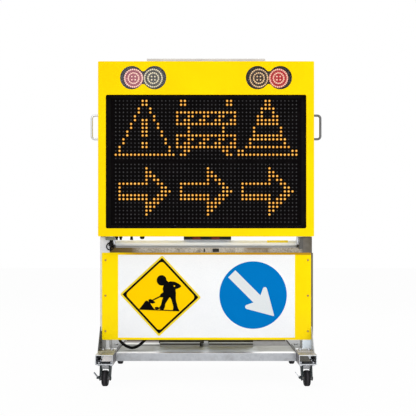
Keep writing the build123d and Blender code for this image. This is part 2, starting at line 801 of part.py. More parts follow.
def shell_screw_places():
    """Screws in the shell's top and right side, each with its outward direction."""
    offset = box_width / 2 - SHELL_SCREW_INSET
    top = [(Vector(side * offset, box_middle_y, box_top), Vector(0, 0, 1)) for side in SIDES]
    right = Vector(box_width / 2, box_middle_y, box_top - SHELL_SCREW_DROP)
    return top + [(right, Vector(1, 0, 0))]


def arm_bolt_points(side):
    """The four bolts that hold one hinge arm to the rear panel."""
    middle = side * (arm_inner + arm_outer) / 2
    half = ARM_BOLT_SPREAD / 2
    rows = (box_bottom + SHELL_LIP + ARM_BOLT_EDGE, pivot_z + ARM_LENGTH - ARM_BOLT_EDGE)
    return [(middle + x, z) for x in (-half, half) for z in rows]


def front_shell():
    """Painted pan: front face with the window and lamp openings, four sides and a rear lip."""
    outline = RectangleRounded(box_width, box_height, BOX_ROUND)
    pan = slab(outline, 0, box_middle_z, box_front, shell_back)
    pan = fillet(pan.faces().sort_by(Axis.Y)[0].edges(), min(SHELL_EDGE_ROUND, SHELL_WALL))
    cavity = Rectangle(box_width - 2 * SHELL_WALL, box_height - 2 * SHELL_WALL)
    mouth = Rectangle(box_width - 2 * SHELL_LIP, box_height - 2 * SHELL_LIP)
    pan -= slab(cavity, 0, box_middle_z, box_front + SHELL_WALL, shell_back - SHELL_WALL)
    pan -= slab(mouth, 0, box_middle_z, box_front + SHELL_WALL, shell_back)
    pan -= slab(window_outline(0, 0, WINDOW_ROUND), 0, window_z, box_front, box_front + SHELL_WALL)
    for side in SIDES:
        pan -= slab(pair_outline(), side * lamp_x, lamp_z, box_front, box_front + SHELL_WALL)
    for x, z in rear_screw_points():
        pan -= rod(REAR_SCREW_RADIUS + HOLE_ROOM, (x, shell_back - SHELL_WALL, z), (x, shell_back, z))
    for at, outward in shell_screw_places():
        pan -= rod(REAR_SCREW_RADIUS + HOLE_ROOM, at - outward * SHELL_WALL, at)
    return pan - rod(PLUNGER_RADIUS + SEAT_GAP, (plunger_x, plunger_y, box_bottom),
                     (plunger_x, plunger_y, box_bottom + SHELL_WALL))


def window_bezel():
    """Black frame behind the window: the recess wall, then the seat that holds the modules."""
    front = box_front + SHELL_WALL
    bezel = slab(window_outline(BEZEL_LAND, BEZEL_LAND, WINDOW_ROUND), 0, window_z, front, module_back)
    bezel -= slab(window_outline(0, 0, WINDOW_ROUND), 0, window_z, front, module_face)
    seat = Rectangle(modules_width + 2 * MODULE_GAP, modules_height + 2 * MODULE_GAP)
    return bezel - slab(seat, 0, window_z, module_face, module_back)


def led_modules():
    """Square LED modules, side by side in rows."""
    made = []
    for column in range(MODULE_COLUMNS):
        for row in range(MODULE_ROWS):
            x = (column - (MODULE_COLUMNS - 1) / 2) * module_pitch
            z = window_z + (row - (MODULE_ROWS - 1) / 2) * module_pitch
            made.append(slab(Rectangle(module_size, module_size), x, z, module_face, module_back))
    return group(made)


def module_bars():
    """Upright bars behind the joints between modules and behind their outer edges."""
    outline = Rectangle(BAR_WIDTH, modules_height + 2 * BEZEL_LAND)
    made = []
    for n in range(MODULE_COLUMNS + 1):
        x = (n - MODULE_COLUMNS / 2) * module_pitch
        made.append(slab(outline, x, window_z, module_back, bar_back))
    return group(made)


def rear_panel():
    """Flat sheet that closes the back of the box."""
    made = slab(RectangleRounded(box_width, box_height, BOX_ROUND), 0, box_middle_z, shell_back, box_back)
    for x, z in rear_screw_points():
        made -= rod(REAR_SCREW_RADIUS + HOLE_ROOM, (x, shell_back, z), (x, box_back, z))
    for side in SIDES:
        for x, z in arm_bolt_points(side):
            made -= rod(ARM_BOLT_RADIUS + HOLE_ROOM, (x, shell_back, z), (x, box_back, z))
    return made


def display_screws():
    """Rear panel screws, and the bolts of the hinge arms with their nuts inside."""
    made = []
    for x, z in rear_screw_points():
        screw = rod(REAR_SCREW_RADIUS, (x, shell_back - SHELL_WALL, z), (x, box_back, z))
        head_back = box_back + REAR_SCREW_HEAD_HEIGHT
        made.append(screw + rod(REAR_SCREW_HEAD, (x, box_back, z), (x, head_back, z)))
    for side in SIDES:
        for x, z in arm_bolt_points(side):
            seat = box_back + ARM_FLANGE_SHEET
            made.append(bolt(ARM_BOLT_RADIUS, (x, seat, z), (x, shell_back, z)))
    for at, outward in shell_screw_places():
        screw = rod(REAR_SCREW_RADIUS, at - outward * SHELL_WALL, at)
        made.append(screw + rod(REAR_SCREW_HEAD, at, at + outward * REAR_SCREW_HEAD_HEIGHT))
    return group(made)


def power_supply():
    """Power unit on one of the module bars."""
    x = -module_pitch / 2
    half = SUPPLY_WIDTH / 2
    return block(x - half, x + half, bar_back, bar_back + SUPPLY_DEPTH, window_z - SUPPLY_HEIGHT / 2,
                 window_z + SUPPLY_HEIGHT / 2)


def driver_board():
    """Display driver circuit on another module bar, with its larger chips."""
    x = module_pitch / 2
    half = BOARD_SIDE / 2
    back = bar_back + CIRCUIT_THICKNESS
    made = block(x - half, x + half, bar_back, back, window_z - half, window_z + half)
    for dx in (-half / 2, half / 2):
        for dz in (-half / 2, half / 2):
            made += slab(Rectangle(CHIP_SIDE, CHIP_SIDE), x + dx, window_z + dz, back, back + CHIP_HEIGHT)
    return made


def lamp_cup(side):
    """Moulded housing behind one lamp opening, with a rebate for its clear cover."""
    x = side * lamp_x
    front = box_front + SHELL_WALL
    back = front + LAMP_CUP_DEPTH
    rebate = COVER_REBATE + SEAT_GAP
    cup = slab(pair_outline(LAMP_CUP_WALL), x, lamp_z, front, back)
    cup -= slab(pair_outline(), x, lamp_z, front, back - LAMP_CUP_FLOOR)
    return cup - slab(pair_outline(rebate), x, lamp_z, front, front + COVER_THICKNESS)


def lamp_cover(side):
    """Clear plate between the shell and the housing's rebate."""
    front = box_front + SHELL_WALL
    return slab(pair_outline(COVER_REBATE), side * lamp_x, lamp_z, front, front + COVER_THICKNESS)


def warning_lamps():
    """Round LED clusters, two on the floor of each housing."""
    floor = box_front + SHELL_WALL + LAMP_CUP_DEPTH - LAMP_CUP_FLOOR
    made = []
    for side in SIDES:
        for half in (-LAMP_SPACING / 2, LAMP_SPACING / 2):
            x = side * lamp_x + half
            made.append(rod(LAMP_RADIUS, (x, floor, lamp_z), (x, floor - LAMP_THICKNESS, lamp_z)))
    return group(made)


def grip_handle(side):
    """Bent round bar with a flange at each end, on one side of the box."""
    wall = side * box_width / 2
    bar_x = wall + side * (HANDLE_REACH - HANDLE_BAR_RADIUS)
    middle = box_bottom + HANDLE_HEIGHT
    half = HANDLE_LENGTH / 2 - HANDLE_BAR_RADIUS
    y = box_middle_y
    path = FilletPolyline(
        (wall, y, middle - half),
        (bar_x, y, middle - half),
        (bar_x, y, middle + half),
        (wall, y, middle + half),
        radius=HANDLE_BEND,
    )
    section = Plane(origin=path @ 0, z_dir=path % 0) * Circle(HANDLE_BAR_RADIUS)
    made = sweep(section, path=path)
    for z in (middle - half, middle + half):
        end = (wall + side * HANDLE_FLANGE_HEIGHT, y, z)
        made += rod(HANDLE_FLANGE_RADIUS, (wall, y, z), end)
    return made


def top_rail():
    """Angle along the middle of the box's top edge, to pull the display back by."""
    half = TOP_RAIL_LENGTH / 2
    y0 = box_middle_y - TOP_RAIL_SHEET / 2
    made = block(-half, half, y0, y0 + TOP_RAIL_SHEET, box_top, box_top + TOP_RAIL_HEIGHT)
    return made + block(-half, half, y0, y0 + TOP_RAIL_DEPTH, box_top, box_top + TOP_RAIL_SHEET)


def bottom_fittings():
    """Cable glands, a flared connector and a domed breather under the box."""
    y = box_middle_y
    made = []
    left = -box_width / 2
    for inset in GLAND_INSETS:
        x = left + inset
        gland = hexagon(GLAND_RADIUS, (x, y, box_bottom), (x, y, box_bottom - GLAND_LENGTH / 2))
        gland += rod(GLAND_NOSE_RADIUS, (x, y, box_bottom), (x, y, box_bottom - GLAND_LENGTH))
        made.append(gland)
    x = left + CONNECTOR_INSET
    end = (x, y, box_bottom - GLAND_LENGTH)
    made.append(rod(CONNECTOR_TOP_RADIUS, (x, y, box_bottom), end, CONNECTOR_END_RADIUS))
    x = left + VENT_INSET
    dome = rod(VENT_RADIUS, (x, y, box_bottom), (x, y, box_bottom - VENT_HEIGHT))
    made.append(fillet(dome.edges().sort_by(Axis.Z)[0], VENT_ROUND))
    return group(made)


# Fold pivot: the tube and its arms turn with the display.


def pivot_tube():
    """Tube across the base that the whole display folds about."""
    half = post_inner - TUBE_END_ROOM
    start, end = (-half, pivot_y, pivot_z), (half, pivot_y, pivot_z)
    return rod(TUBE_RADIUS, start, end) - rod(TUBE_RADIUS - TUBE_WALL, start, end)


def hinge_arm(side):
    """Plate clamped round the tube, with a flange against the rear panel."""
    inner, outer = side * arm_inner, side * arm_outer
    middle = (inner + outer) / 2
    half = ARM_FLANGE_WIDTH / 2
    top = pivot_z + ARM_LENGTH
    eye = Pos(pivot_y, pivot_z) * Circle(ARM_EYE_RADIUS)
    web = Polygon(
        (box_back, pivot_z),
        (pivot_y, pivot_z),
        (box_back + ARM_WEB, pivot_z + PIVOT_DROP),
        (box_back + ARM_FLANGE_SHEET, top),
        (box_back, top),
        align=None,
    )
    bore = Pos(pivot_y, pivot_z) * Circle(TUBE_RADIUS + RUNNING_FIT)
    arm = side_plate(eye + web - bore, min(inner, outer), max(inner, outer))
    flange_back = box_back + ARM_FLANGE_SHEET
    arm += block(middle - half, middle + half, box_back, flange_back, box_bottom + SIDE_GAP, top)
    for x, z in arm_bolt_points(side):
        arm -= rod(ARM_BOLT_RADIUS + HOLE_ROOM, (x, box_back, z), (x, flange_back, z))
    return arm


# Control box


def control_box():
    """Tub on the rear panel, open behind, reaching a little below the display."""
    left, right = CONTROL_SHIFT - CONTROL_WIDTH / 2, CONTROL_SHIFT + CONTROL_WIDTH / 2
    top = control_bottom + CONTROL_HEIGHT
    made = block(left, right, box_back, control_back, control_bottom, top)
    return made - block(left + CONTROL_WALL, right - CONTROL_WALL, box_back + CONTROL_WALL, control_back,
                        control_bottom + CONTROL_WALL, top - CONTROL_WALL)


def rocker_opening():
    """Half width and half height of the hole that a rocker swings in."""
    tilt = math.radians(ROCKER_TILT)
    reach = max(ROCKER_INSIDE, ROCKER_OUTSIDE)
    swing = ROCKER_HEIGHT / 2 * math.cos(tilt) + reach * math.sin(tilt)
    return ROCKER_WIDTH / 2 + SEAT_GAP, max(swing, ROCKER_HEIGHT / 2) + SEAT_GAP


def control_cover():
    """Rear cover with a collar round each rocker."""
    left, right = CONTROL_SHIFT - CONTROL_WIDTH / 2, CONTROL_SHIFT + CONTROL_WIDTH / 2
    top = control_bottom + CONTROL_HEIGHT
    cover = block(left, right, control_back, control_face, control_bottom, top)
    hole_x, hole_z = rocker_opening()
    for side in SIDES:
        x = CONTROL_SHIFT + side * ROCKER_OFFSET
        rim = Rectangle(2 * (hole_x + ROCKER_COLLAR), 2 * (hole_z + ROCKER_COLLAR))
        inside, outside = control_face - ROCKER_COLLAR_DEPTH, control_face + ROCKER_COLLAR_RIM
        cover += slab(rim, x, rocker_z, inside, outside)
        cover -= slab(Rectangle(2 * hole_x, 2 * hole_z), x, rocker_z, inside, outside)
        reach = hole_x + TRUNNION_LENGTH
        cover -= rod(TRUNNION_RADIUS + RUNNING_FIT, (x - reach, rocker_y, rocker_z),
                     (x + reach, rocker_y, rocker_z))
    return cover


def rocker(side):
    """Switch key on two trunnions, lying over to its off side."""
    half = ROCKER_WIDTH / 2
    reach = half + TRUNNION_LENGTH
    key = block(-half, half, -ROCKER_INSIDE, ROCKER_OUTSIDE, -ROCKER_HEIGHT / 2, ROCKER_HEIGHT / 2)
    key += rod(TRUNNION_RADIUS, (-reach, 0, 0), (reach, 0, 0))
    return Pos(CONTROL_SHIFT + side * ROCKER_OFFSET, rocker_y, rocker_z) * Rot(ROCKER_TILT, 0, 0) * key


def socket_caps():
    """Caps over the charging sockets, on the strip of the control box that shows below the display."""
    z = control_bottom + CONTROL_DROP / 2
    outline = RectangleRounded(CAP_WIDTH, CAP_HEIGHT, CAP_ROUND)
    return group(slab(outline, side * CAP_OFFSET, z, box_back - CAP_DEPTH, box_back) for side in SIDES)


# Lock plunger


def plunger_guide():
    """Block on the left post's front that the plunger slides in, and a side plate on the right post."""
    half = GUIDE_WIDTH / 2
    left = block(plunger_x - half, plunger_x + half, post_front - GUIDE_DEPTH, post_front, guide_bottom, guide_top)
    left -= rod(PLUNGER_RADIUS + RUNNING_FIT, (plunger_x, plunger_y, guide_bottom),
                (plunger_x, plunger_y, guide_top))
    inner = post_inner - KEEPER_SHEET
    seat = pivot_z - UPPER_BEAM_DROP + SIDE_GAP
    right = block(inner, post_inner, post_front - KEEPER_FRONT, post_front, guide_top - KEEPER_HEIGHT, guide_top)
    right += block(inner, post_inner, post_front, post_front + KEEPER_BACK, seat, guide_top)
    return group([left, right])


def lock_plunger():
    """Pin with a collar, a tail and a pull ring, drawn down clear of the display."""
    collar_top = guide_bottom - PLUNGER_TRAVEL - SEAT_GAP
    collar_bottom = collar_top - COLLAR_HEIGHT
    foot = collar_bottom - PLUNGER_TAIL
    pin = rod(PLUNGER_RADIUS, (plunger_x, plunger_y, foot), (plunger_x, plunger_y, plunger_top))
    pin += rod(COLLAR_RADIUS, (plunger_x, plunger_y, collar_bottom), (plunger_x, plunger_y, collar_top))
    ring_z = collar_top - RING_BITE - RING_WIRE - RING_RADIUS
    ring_y = plunger_y - COLLAR_RADIUS + RING_BITE
    ring_plane = Plane(origin=(plunger_x, ring_y, ring_z), x_dir=(1, 0, 0), z_dir=(0, 1, 0))
    return pin + ring_plane * Torus(RING_RADIUS, RING_WIRE)


# Power cable


def cable_points():
    """The route: out of the post, down in a slack loop behind the board, and up to the case."""
    start = (-post_inner + CABLE_GLAND_LENGTH, post_front + CABLE_POST_DEPTH, rail_top + CABLE_POST_HEIGHT)
    end = (-case_outer + CABLE_CASE_INSET, case_front - CABLE_GLAND_LENGTH, rail_top + CABLE_CASE_HEIGHT)
    return [
        start,
        (start[0] + CABLE_FIRST_RUN, start[1], start[2]),
        (-432, -151, 320),
        (-421, -152, 297),
        (-427, -152, 270),
        (-442, -152, 246),
        (-455, -152, 223),
        (-457, -152, 202),
        (-448, -151, 184),
        (-430, -150, 172),
        (-404, -148, 167),
        (-376, -146, 170),
        (-349, -142, 183),
        (-324, -138, 205),
        (-299, -133, 231),
        (-274, -125, 254),
        (-248, -114, 272),
        (-225, -98, 285),
        (end[0], end[1] - CABLE_LAST_RUN, end[2]),
        end,
    ]


def corner_radii(points):
    """The largest even arc at each inner point of a route."""
    radii = []
    for before, at, after in zip(points, points[1:], points[2:]):
        run_in, run_out = Vector(*at) - Vector(*before), Vector(*after) - Vector(*at)
        turn = math.radians(run_in.get_angle(run_out))
        radii.append(CABLE_ARC_SHARE * min(run_in.length, run_out.length) / math.tan(turn / 2))
    return radii


def power_cable():
    """Slack cable as a tube along straight runs and tangent arcs."""
    points = cable_points()
    radii = corner_radii(points)
    path = FilletPolyline(*points, radius=radii)
    section = Plane(origin=path @ 0, z_dir=path % 0) * Circle(CABLE_RADIUS)
    tube = sweep(section, path=path)
    print("cable radii:", [round(r) for r in radii], "length:", round(path.length))
    print("cable volume ratio:", round(tube.volume / (math.pi * CABLE_RADIUS**2 * path.length), 4))
    return tube


def cable_glands():
    """Glands that the cable leaves the post by and enters the battery case by."""
    points = cable_points()
    made = []
    for mouth, inward in ((Vector(*points[0]), Vector(-1, 0, 0)), (Vector(*points[-1]), Vector(0, 1, 0))):
        nut = mouth + inward * CABLE_GLAND_NOSE
        root = mouth + inward * CABLE_GLAND_LENGTH
        made.append(rod(CABLE_GLAND_NOSE_RADIUS, mouth, nut) + hexagon(CABLE_GLAND_RADIUS, nut, root))
    return group(made)


def build_parts():
    """Every node of the sign, by name."""
    parts = {
        "rail_left": rail(-1),
        "rail_right": rail(1),
        "front_beam": cross_beam(-beam_outer, -beam_inner),
        "rear_beam": cross_beam(beam_inner, beam_outer),
        "battery_tray": battery_tray(),
        "battery_tubs": group(on_cases(battery_tub)),
        "battery_lids": group(on_cases(battery_lid)),
        "batteries": group(on_cases(battery)),
        "post_left": post(-1),
        "post_right": post(1),
        "post_gussets": gussets(),
        "upper_beam": upper_beam(),
        "pivot_bushes": pivot_bushes(),
        "rest_pads": rest_pads(),
        "frame_bolts": frame_bolts(),
        "caster_plates": group(caster_place(name) * caster_plate() for name in CASTERS),
        "sign_board": sign_board(),
        "white_sheet": white_sheet(),
        "roadworks_sign": roadworks_sign(),
        "direction_sign": direction_sign(),
        "board_screws": board_screws(),
        "plunger_guide": plunger_guide(),
        "lock_plunger": lock_plunger(),
        "cable_glands": cable_glands(),
        "power_cable": power_cable(),
        "front_shell": front_shell(),
        "window_bezel": window_bezel(),
        "led_modules": led_modules(),
        "module_bars": module_bars(),
        "rear_panel": rear_panel(),
        "display_screws": display_screws(),
        "power_supply": power_supply(),
        "driver_board": driver_board(),
        "lamp_housings": group(lamp_cup(side) for side in SIDES),
        "lamp_covers": group(lamp_cover(side) for side in SIDES),
        "warning_lamps": warning_lamps(),
        "grip_handles": group(grip_handle(side) for side in SIDES),
        "top_rail": top_rail(),
        "bottom_fittings": bottom_fittings(),
        "pivot_tube": pivot_tube(),
        "hinge_arms": group(hinge_arm(side) for side in SIDES),
        "control_box": control_box(),
        "control_cover": control_cover(),
        "socket_caps": socket_caps(),
        "rocker_left": rocker(-1),
        "rocker_right": rocker(1),
    }
    for name in CASTERS:
        braked = name.startswith("front")
        parts[f"fork_{name}"] = caster_place(name) * caster_fork(braked)
        parts[f"tyre_{name}"] = caster_place(name) * caster_tyre()
        parts[f"hub_{name}"] = caster_place(name) * caster_hub()
        if braked:
            parts[f"brake_pedal_{name}"] = caster_place(name) * brake_pedal()
    return parts


os.makedirs("parts", exist_ok=True)
for node, shape in build_parts().items():
    export_step(shape, f"parts/{node}.step")
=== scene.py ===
"""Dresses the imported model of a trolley-mounted variable message sign for rendering and export."""

import logging
import math
from abc import ABC, abstractmethod
from dataclasses import dataclass, field
from enum import Enum
from itertools import product
from typing import Callable, Iterable, Union

import bmesh
import bpy
from mathutils import Matrix, Vector


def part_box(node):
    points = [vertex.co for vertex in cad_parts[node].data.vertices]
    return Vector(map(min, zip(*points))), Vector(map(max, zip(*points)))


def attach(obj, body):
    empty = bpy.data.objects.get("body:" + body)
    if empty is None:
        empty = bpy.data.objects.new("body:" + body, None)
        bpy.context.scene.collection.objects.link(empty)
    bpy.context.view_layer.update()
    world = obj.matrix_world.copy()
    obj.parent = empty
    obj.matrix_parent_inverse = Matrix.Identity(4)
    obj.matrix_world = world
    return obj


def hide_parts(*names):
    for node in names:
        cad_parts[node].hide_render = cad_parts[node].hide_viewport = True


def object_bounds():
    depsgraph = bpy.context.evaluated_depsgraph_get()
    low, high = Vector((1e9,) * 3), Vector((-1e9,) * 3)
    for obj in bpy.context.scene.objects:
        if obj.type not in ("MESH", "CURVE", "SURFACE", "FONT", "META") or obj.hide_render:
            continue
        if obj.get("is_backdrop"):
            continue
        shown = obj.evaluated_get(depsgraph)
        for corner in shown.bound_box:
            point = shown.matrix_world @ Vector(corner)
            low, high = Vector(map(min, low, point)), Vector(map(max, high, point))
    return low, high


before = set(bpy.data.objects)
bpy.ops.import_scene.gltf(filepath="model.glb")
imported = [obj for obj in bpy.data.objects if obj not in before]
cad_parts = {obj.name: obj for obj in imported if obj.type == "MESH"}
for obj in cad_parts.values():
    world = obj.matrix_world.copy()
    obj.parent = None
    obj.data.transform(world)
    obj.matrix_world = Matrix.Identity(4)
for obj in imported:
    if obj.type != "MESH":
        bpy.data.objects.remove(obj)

LOG = logging.getLogger("message_sign")

FILM_THICKNESS = 0.0004
MERGE_DISTANCE = 1e-6
BEVEL_STEPS = 2
CORNER_STEPS = 5
SIDES_MEET = 0.1
MM = 0.001
FAR = 9.0
FULL_TURN = 2 * math.pi
UPRIGHT = math.pi / 2
DIAGONAL = math.pi / 4

Colour = tuple[float, float, float]
Spot = tuple[float, float]
Place = tuple[float, float, float]
Outline = list[Spot]
Sockets = dict[str, object]
Mesh = bpy.types.Mesh
Thing = bpy.types.Object
EVERYWHERE: Spot = (-FAR, FAR)
MADE: dict[str, bpy.types.Material] = {}


def below(limit: float) -> Spot:
    """Gives the span under a limit."""
    return (-FAR, limit)


def above(limit: float) -> Spot:
    """Gives the span over a limit."""
    return (limit, FAR)


def operator(operation: str, swapped: bool = False) -> Callable[..., "Term"]:
    """Makes the method of one Python operator.

    Args:
        operation: what the Math node does.
        swapped: whether the term comes second.

    Returns:
        The method, which adds one Math node.
    """
    def method(term: "Term", other: "Value" = 0.0) -> "Term":
        """Adds the Math node and gives its output."""
        first, second = (other, term) if swapped else (term, other)
        return term.sheet.add("ShaderNodeMath", {"operation": operation}, {0: first, 1: second})
    return method


class Term:
    """A node's output socket that takes part in Python expressions, adding Math nodes as it goes."""

    def __init__(self, sheet: "Sheet", socket: bpy.types.NodeSocket) -> None:
        """Wraps one socket of a sheet's tree."""
        self.sheet = sheet
        self.socket = socket

    __add__, __radd__ = operator("ADD"), operator("ADD", True)
    __sub__, __rsub__ = operator("SUBTRACT"), operator("SUBTRACT", True)
    __mul__, __truediv__ = operator("MULTIPLY"), operator("DIVIDE")
    __pow__, __abs__ = operator("POWER"), operator("ABSOLUTE")
    __gt__, __or__ = operator("GREATER_THAN"), operator("MAXIMUM")

    def ramp(self, low: float, high: float, start: float = 0.0, end: float = 1.0) -> "Term":
        """Maps the span from low to high onto start to end, held flat outside it."""
        spans = {"Value": self, "From Min": low, "From Max": high, "To Min": start, "To Max": end}
        return self.sheet.add("ShaderNodeMapRange", {"clamp": True}, spans)


Value = Union[Term, float]
Shade = Union[Term, Colour]


class Sheet:
    """A node tree that is filled by method calls."""

    def __init__(self, tree: bpy.types.NodeTree) -> None:
        """Takes over an empty tree."""
        self.tree = tree

    def add(self, kind: str, settings: dict | None = None, inputs: dict | None = None,
            output: int | str = 0) -> Term | None:
        """Adds one node.

        Args:
            kind: the node's type.
            settings: properties of the node, set before its sockets.
            inputs: values or links by socket name or number; colours are opaque.
            output: name or number of the output to give back.

        Returns:
            The chosen output, if the node has any.
        """
        node = self.tree.nodes.new(kind)
        for name, setting in (settings or {}).items():
            setattr(node, name, setting)
        for key, value in (inputs or {}).items():
            socket = node.inputs[key]
            if isinstance(value, Term):
                self.tree.links.new(value.socket, socket)
            else:
                socket.default_value = (*value, 1.0) if socket.type == "RGBA" else value
        return Term(self, node.outputs[output]) if len(node.outputs) else None

    def split(self, kind: str, inputs: dict | None = None) -> dict[str, Term]:
        """Adds one node and gives all of its outputs by name."""
        node = self.add(kind, inputs=inputs).socket.node
        return {socket.name: Term(self, socket) for socket in node.outputs}


class PaintSheet(Sheet):
    """A shader tree with the patterns that this object's finishes share."""

    def place(self, stretch: Place | None = None, turn: Place = (0.0, 0.0, 0.0)) -> Term:
        """Gives the object coordinates.

        Args:
            stretch: scale along each axis, for a pattern with a direction.
            turn: turn that goes with the stretch.

        Returns:
            The coordinates.
        """
        place = self.add("ShaderNodeTexCoord", output="Object")
        if not stretch:
            return place
        return self.add("ShaderNodeMapping", inputs={"Vector": place, "Scale": stretch, "Rotation": turn})

    def axes(self) -> list[Term]:
        """Gives x, y and z of the object coordinates."""
        return list(self.split("ShaderNodeSeparateXYZ", {"Vector": self.place()}).values())

    def noise(self, scale: float, detail: float, *spread: Place) -> Term:
        """Gives cloudy noise from 0 to 1, stretched and turned if asked to."""
        return self.add("ShaderNodeTexNoise", inputs={
            "Vector": self.place(*spread), "Scale": scale, "Detail": detail})

    def cells(self, scale: float, *spread: Place, output: str = "Distance") -> Term:
        """Gives Voronoi cells of a given number per metre."""
        return self.add("ShaderNodeTexVoronoi", inputs={"Vector": self.place(*spread), "Scale": scale},
                        output=output)

    def blend(self, mask: Value, first: Shade, second: Shade) -> Term:
        """Goes from the first colour to the second as the mask goes from 0 to 1."""
        return self.add("ShaderNodeMix", {"data_type": "RGBA"}, {0: mask, 6: first, 7: second}, 2)

    def by_side(self, left: Colour, right: Colour) -> Term:
        """Gives one colour on the left of the sign and another on its right."""
        return self.blend(self.axes()[0].ramp(-SIDES_MEET, SIDES_MEET), left, right)

    def look(self, colour: Term, roughness: Term, height: Term | None = None, depth: float = 0.0,
             shine: float = 0.5, metal: Value = 0.0) -> Sockets:
        """Gathers what a finish gives the shader.

        Args:
            colour: base colour.
            roughness: roughness.
            height: pattern that stands out of the surface, if there is one.
            depth: how far it stands out, in metres.
            shine: level of the plain reflection.
            metal: how metallic it is.

        Returns:
            Values and links by socket name.
        """
        sockets = {"Base Color": colour, "Roughness": roughness, "Specular IOR Level": shine, "Metallic": metal}
        if height:
            sockets["Normal"] = self.add("ShaderNodeBump", inputs={
                "Height": height, "Distance": depth, "Strength": 1.0})
        return sockets


@dataclass(frozen=True)
class Zone:
    """A box-shaped part of a piece that has its own tone, with soft borders."""

    tone: Colour
    x: Spot = EVERYWHERE
    y: Spot = EVERYWHERE
    z: Spot = EVERYWHERE
    soft: float = 0.0006
    depth: float = 0.9

    def over(self, sheet: PaintSheet, body: Term, clouds: Term) -> Term:
        """Lays the zone over a colour.

        Args:
            sheet: tree that is being filled.
            body: colour outside the zone.
            clouds: noise that thins the zone a little.

        Returns:
            The colour with the zone on it.
        """
        mask: Value = clouds.ramp(0.3, 0.7, self.depth - 0.1, self.depth + 0.1)
        for value, span in zip(sheet.axes(), (self.x, self.y, self.z)):
            for end, reach in zip(span, (self.soft, -self.soft)):
                if abs(end) < FAR:
                    mask = mask * value.ramp(end - 0.5 * reach, end + 0.5 * reach)
        return sheet.blend(mask, body, self.tone)


def cleared(owner: bpy.types.Material | bpy.types.World) -> bpy.types.NodeTree:
    """Switches nodes on and empties the tree.

    Args:
        owner: material or world.

    Returns:
        Its tree.
    """
    owner.use_nodes = True
    owner.node_tree.nodes.clear()
    return owner.node_tree


@dataclass(frozen=True)
class Finish(ABC):
    """One procedural finish. The name is also the material's name."""

    name: str
    zones: tuple[Zone, ...] = field(default=(), kw_only=True)

    @abstractmethod
    def sockets(self, sheet: PaintSheet) -> Sockets:
        """Wires the finish.

        Args:
            sheet: tree that is being filled.

        Returns:
            The shader's values and links by socket name.
        """

    def zoned(self, sheet: PaintSheet, body: Term, clouds: Term) -> Term:
        """Lays the finish's zones over its body colour.

        Args:
            sheet: tree that is being filled.
            body: colour outside the zones.
            clouds: noise that thins the zones.

        Returns:
            The colour with the zones on it.
        """
        for zone in self.zones:
            body = zone.over(sheet, body, clouds)
        return body

    def material(self) -> bpy.types.Material:
        """Makes the material, or finds the one made before.

        Returns:
            The material.
        """
        if self.name not in MADE:
            MADE[self.name] = bpy.data.materials.new(self.name)
            sheet = PaintSheet(cleared(MADE[self.name]))
            shader = sheet.add("ShaderNodeBsdfPrincipled", inputs=self.sockets(sheet))
            sheet.add("ShaderNodeOutputMaterial", inputs={"Surface": shader})
        return MADE[self.name]


@dataclass(frozen=True)
class PowderCoat(Finish):
    """Coloured powder coat with orange peel, faint clouds, dust towards the floor and, over a given height, a
    painted shadow that deepens to the right.
    """

    colour: Colour = (0.955, 0.69, 0.001)
    deep: Colour = (0.94, 0.615, 0.001)
    shadow_above: float = FAR

    def sockets(self, sheet: PaintSheet) -> Sockets:
        """Wires the finish."""
        across, _, height = sheet.axes()
        clouds = sheet.noise(3.5, 4.0)
        peel = sheet.noise(420.0, 1.0)
        scuffs = sheet.noise(60.0, 6.0, (0.35, 1.0, 1.0), (0.0, 0.5, 0.0)).ramp(0.66, 0.78)
        body = sheet.blend(clouds.ramp(0.35, 0.75), self.colour, self.deep)
        dusty = (1.0 - height.ramp(0.15, 0.5)) * clouds.ramp(0.45, 0.7) * 0.05
        shade = sheet.blend(dusty, body, (0.42, 0.33, 0.16))
        # Painted shadow of the display box on the top edge of the board, deeper towards the right.
        top_shadow = height.ramp(self.shadow_above, self.shadow_above + 0.004) * across.ramp(-0.47, -0.36, 0.05, 0.85)
        return sheet.look(sheet.blend(top_shadow, shade, (0.4, 0.185, 0.012)), 0.38 + clouds * 0.12 + scuffs * 0.15,
                          peel + scuffs * 0.3, 0.00006, 0.02)


@dataclass(frozen=True)
class ZincCoat(Finish):
    """Galvanised or plated steel with spangle and a fine grain."""

    light: Colour
    dark: Colour
    spangle: float = 70.0
    gloss: float = 0.34
    metal: float = 0.92
    stain: float = 0.15
    rust: Colour = (0.3, 0.29, 0.27)
    shine: float = 0.5

    def sockets(self, sheet: PaintSheet) -> Sockets:
        """Wires the finish."""
        flakes = sheet.add("ShaderNodeSeparateColor", inputs={"Color": sheet.cells(self.spangle, output="Color")})
        clouds = sheet.noise(9.0, 5.0)
        grain = sheet.noise(900.0, 2.0)
        stains = sheet.noise(26.0, 6.0).ramp(0.58, 0.75)
        body = sheet.blend((flakes * 0.3 + clouds * 0.7).ramp(0.25, 0.75), self.dark, self.light)
        return sheet.look(sheet.blend(stains * self.stain, self.zoned(sheet, body, clouds), self.rust),
                          self.gloss + flakes * 0.12 + stains * 0.2, grain * 0.5 + flakes * 0.2, 0.00004,
                          self.shine, self.metal - stains * 0.25)


@dataclass(frozen=True)
class DrawnMetal(Finish):
    """Drawn aluminium or polished tube with lines that run along x."""

    light: Colour
    dark: Colour
    gloss: float
    metal: float

    def sockets(self, sheet: PaintSheet) -> Sockets:
        """Wires the finish."""
        lines = sheet.noise(700.0, 3.0, (0.015, 1.0, 1.0))
        smears = sheet.noise(14.0, 5.0)
        body = sheet.blend((lines * 0.5 + smears * 0.5).ramp(0.3, 0.7), self.dark, self.light)
        return sheet.look(self.zoned(sheet, body, smears),
                          self.gloss + lines * 0.12 + smears.ramp(0.5, 0.8) * 0.12, lines, 0.00003, metal=self.metal)


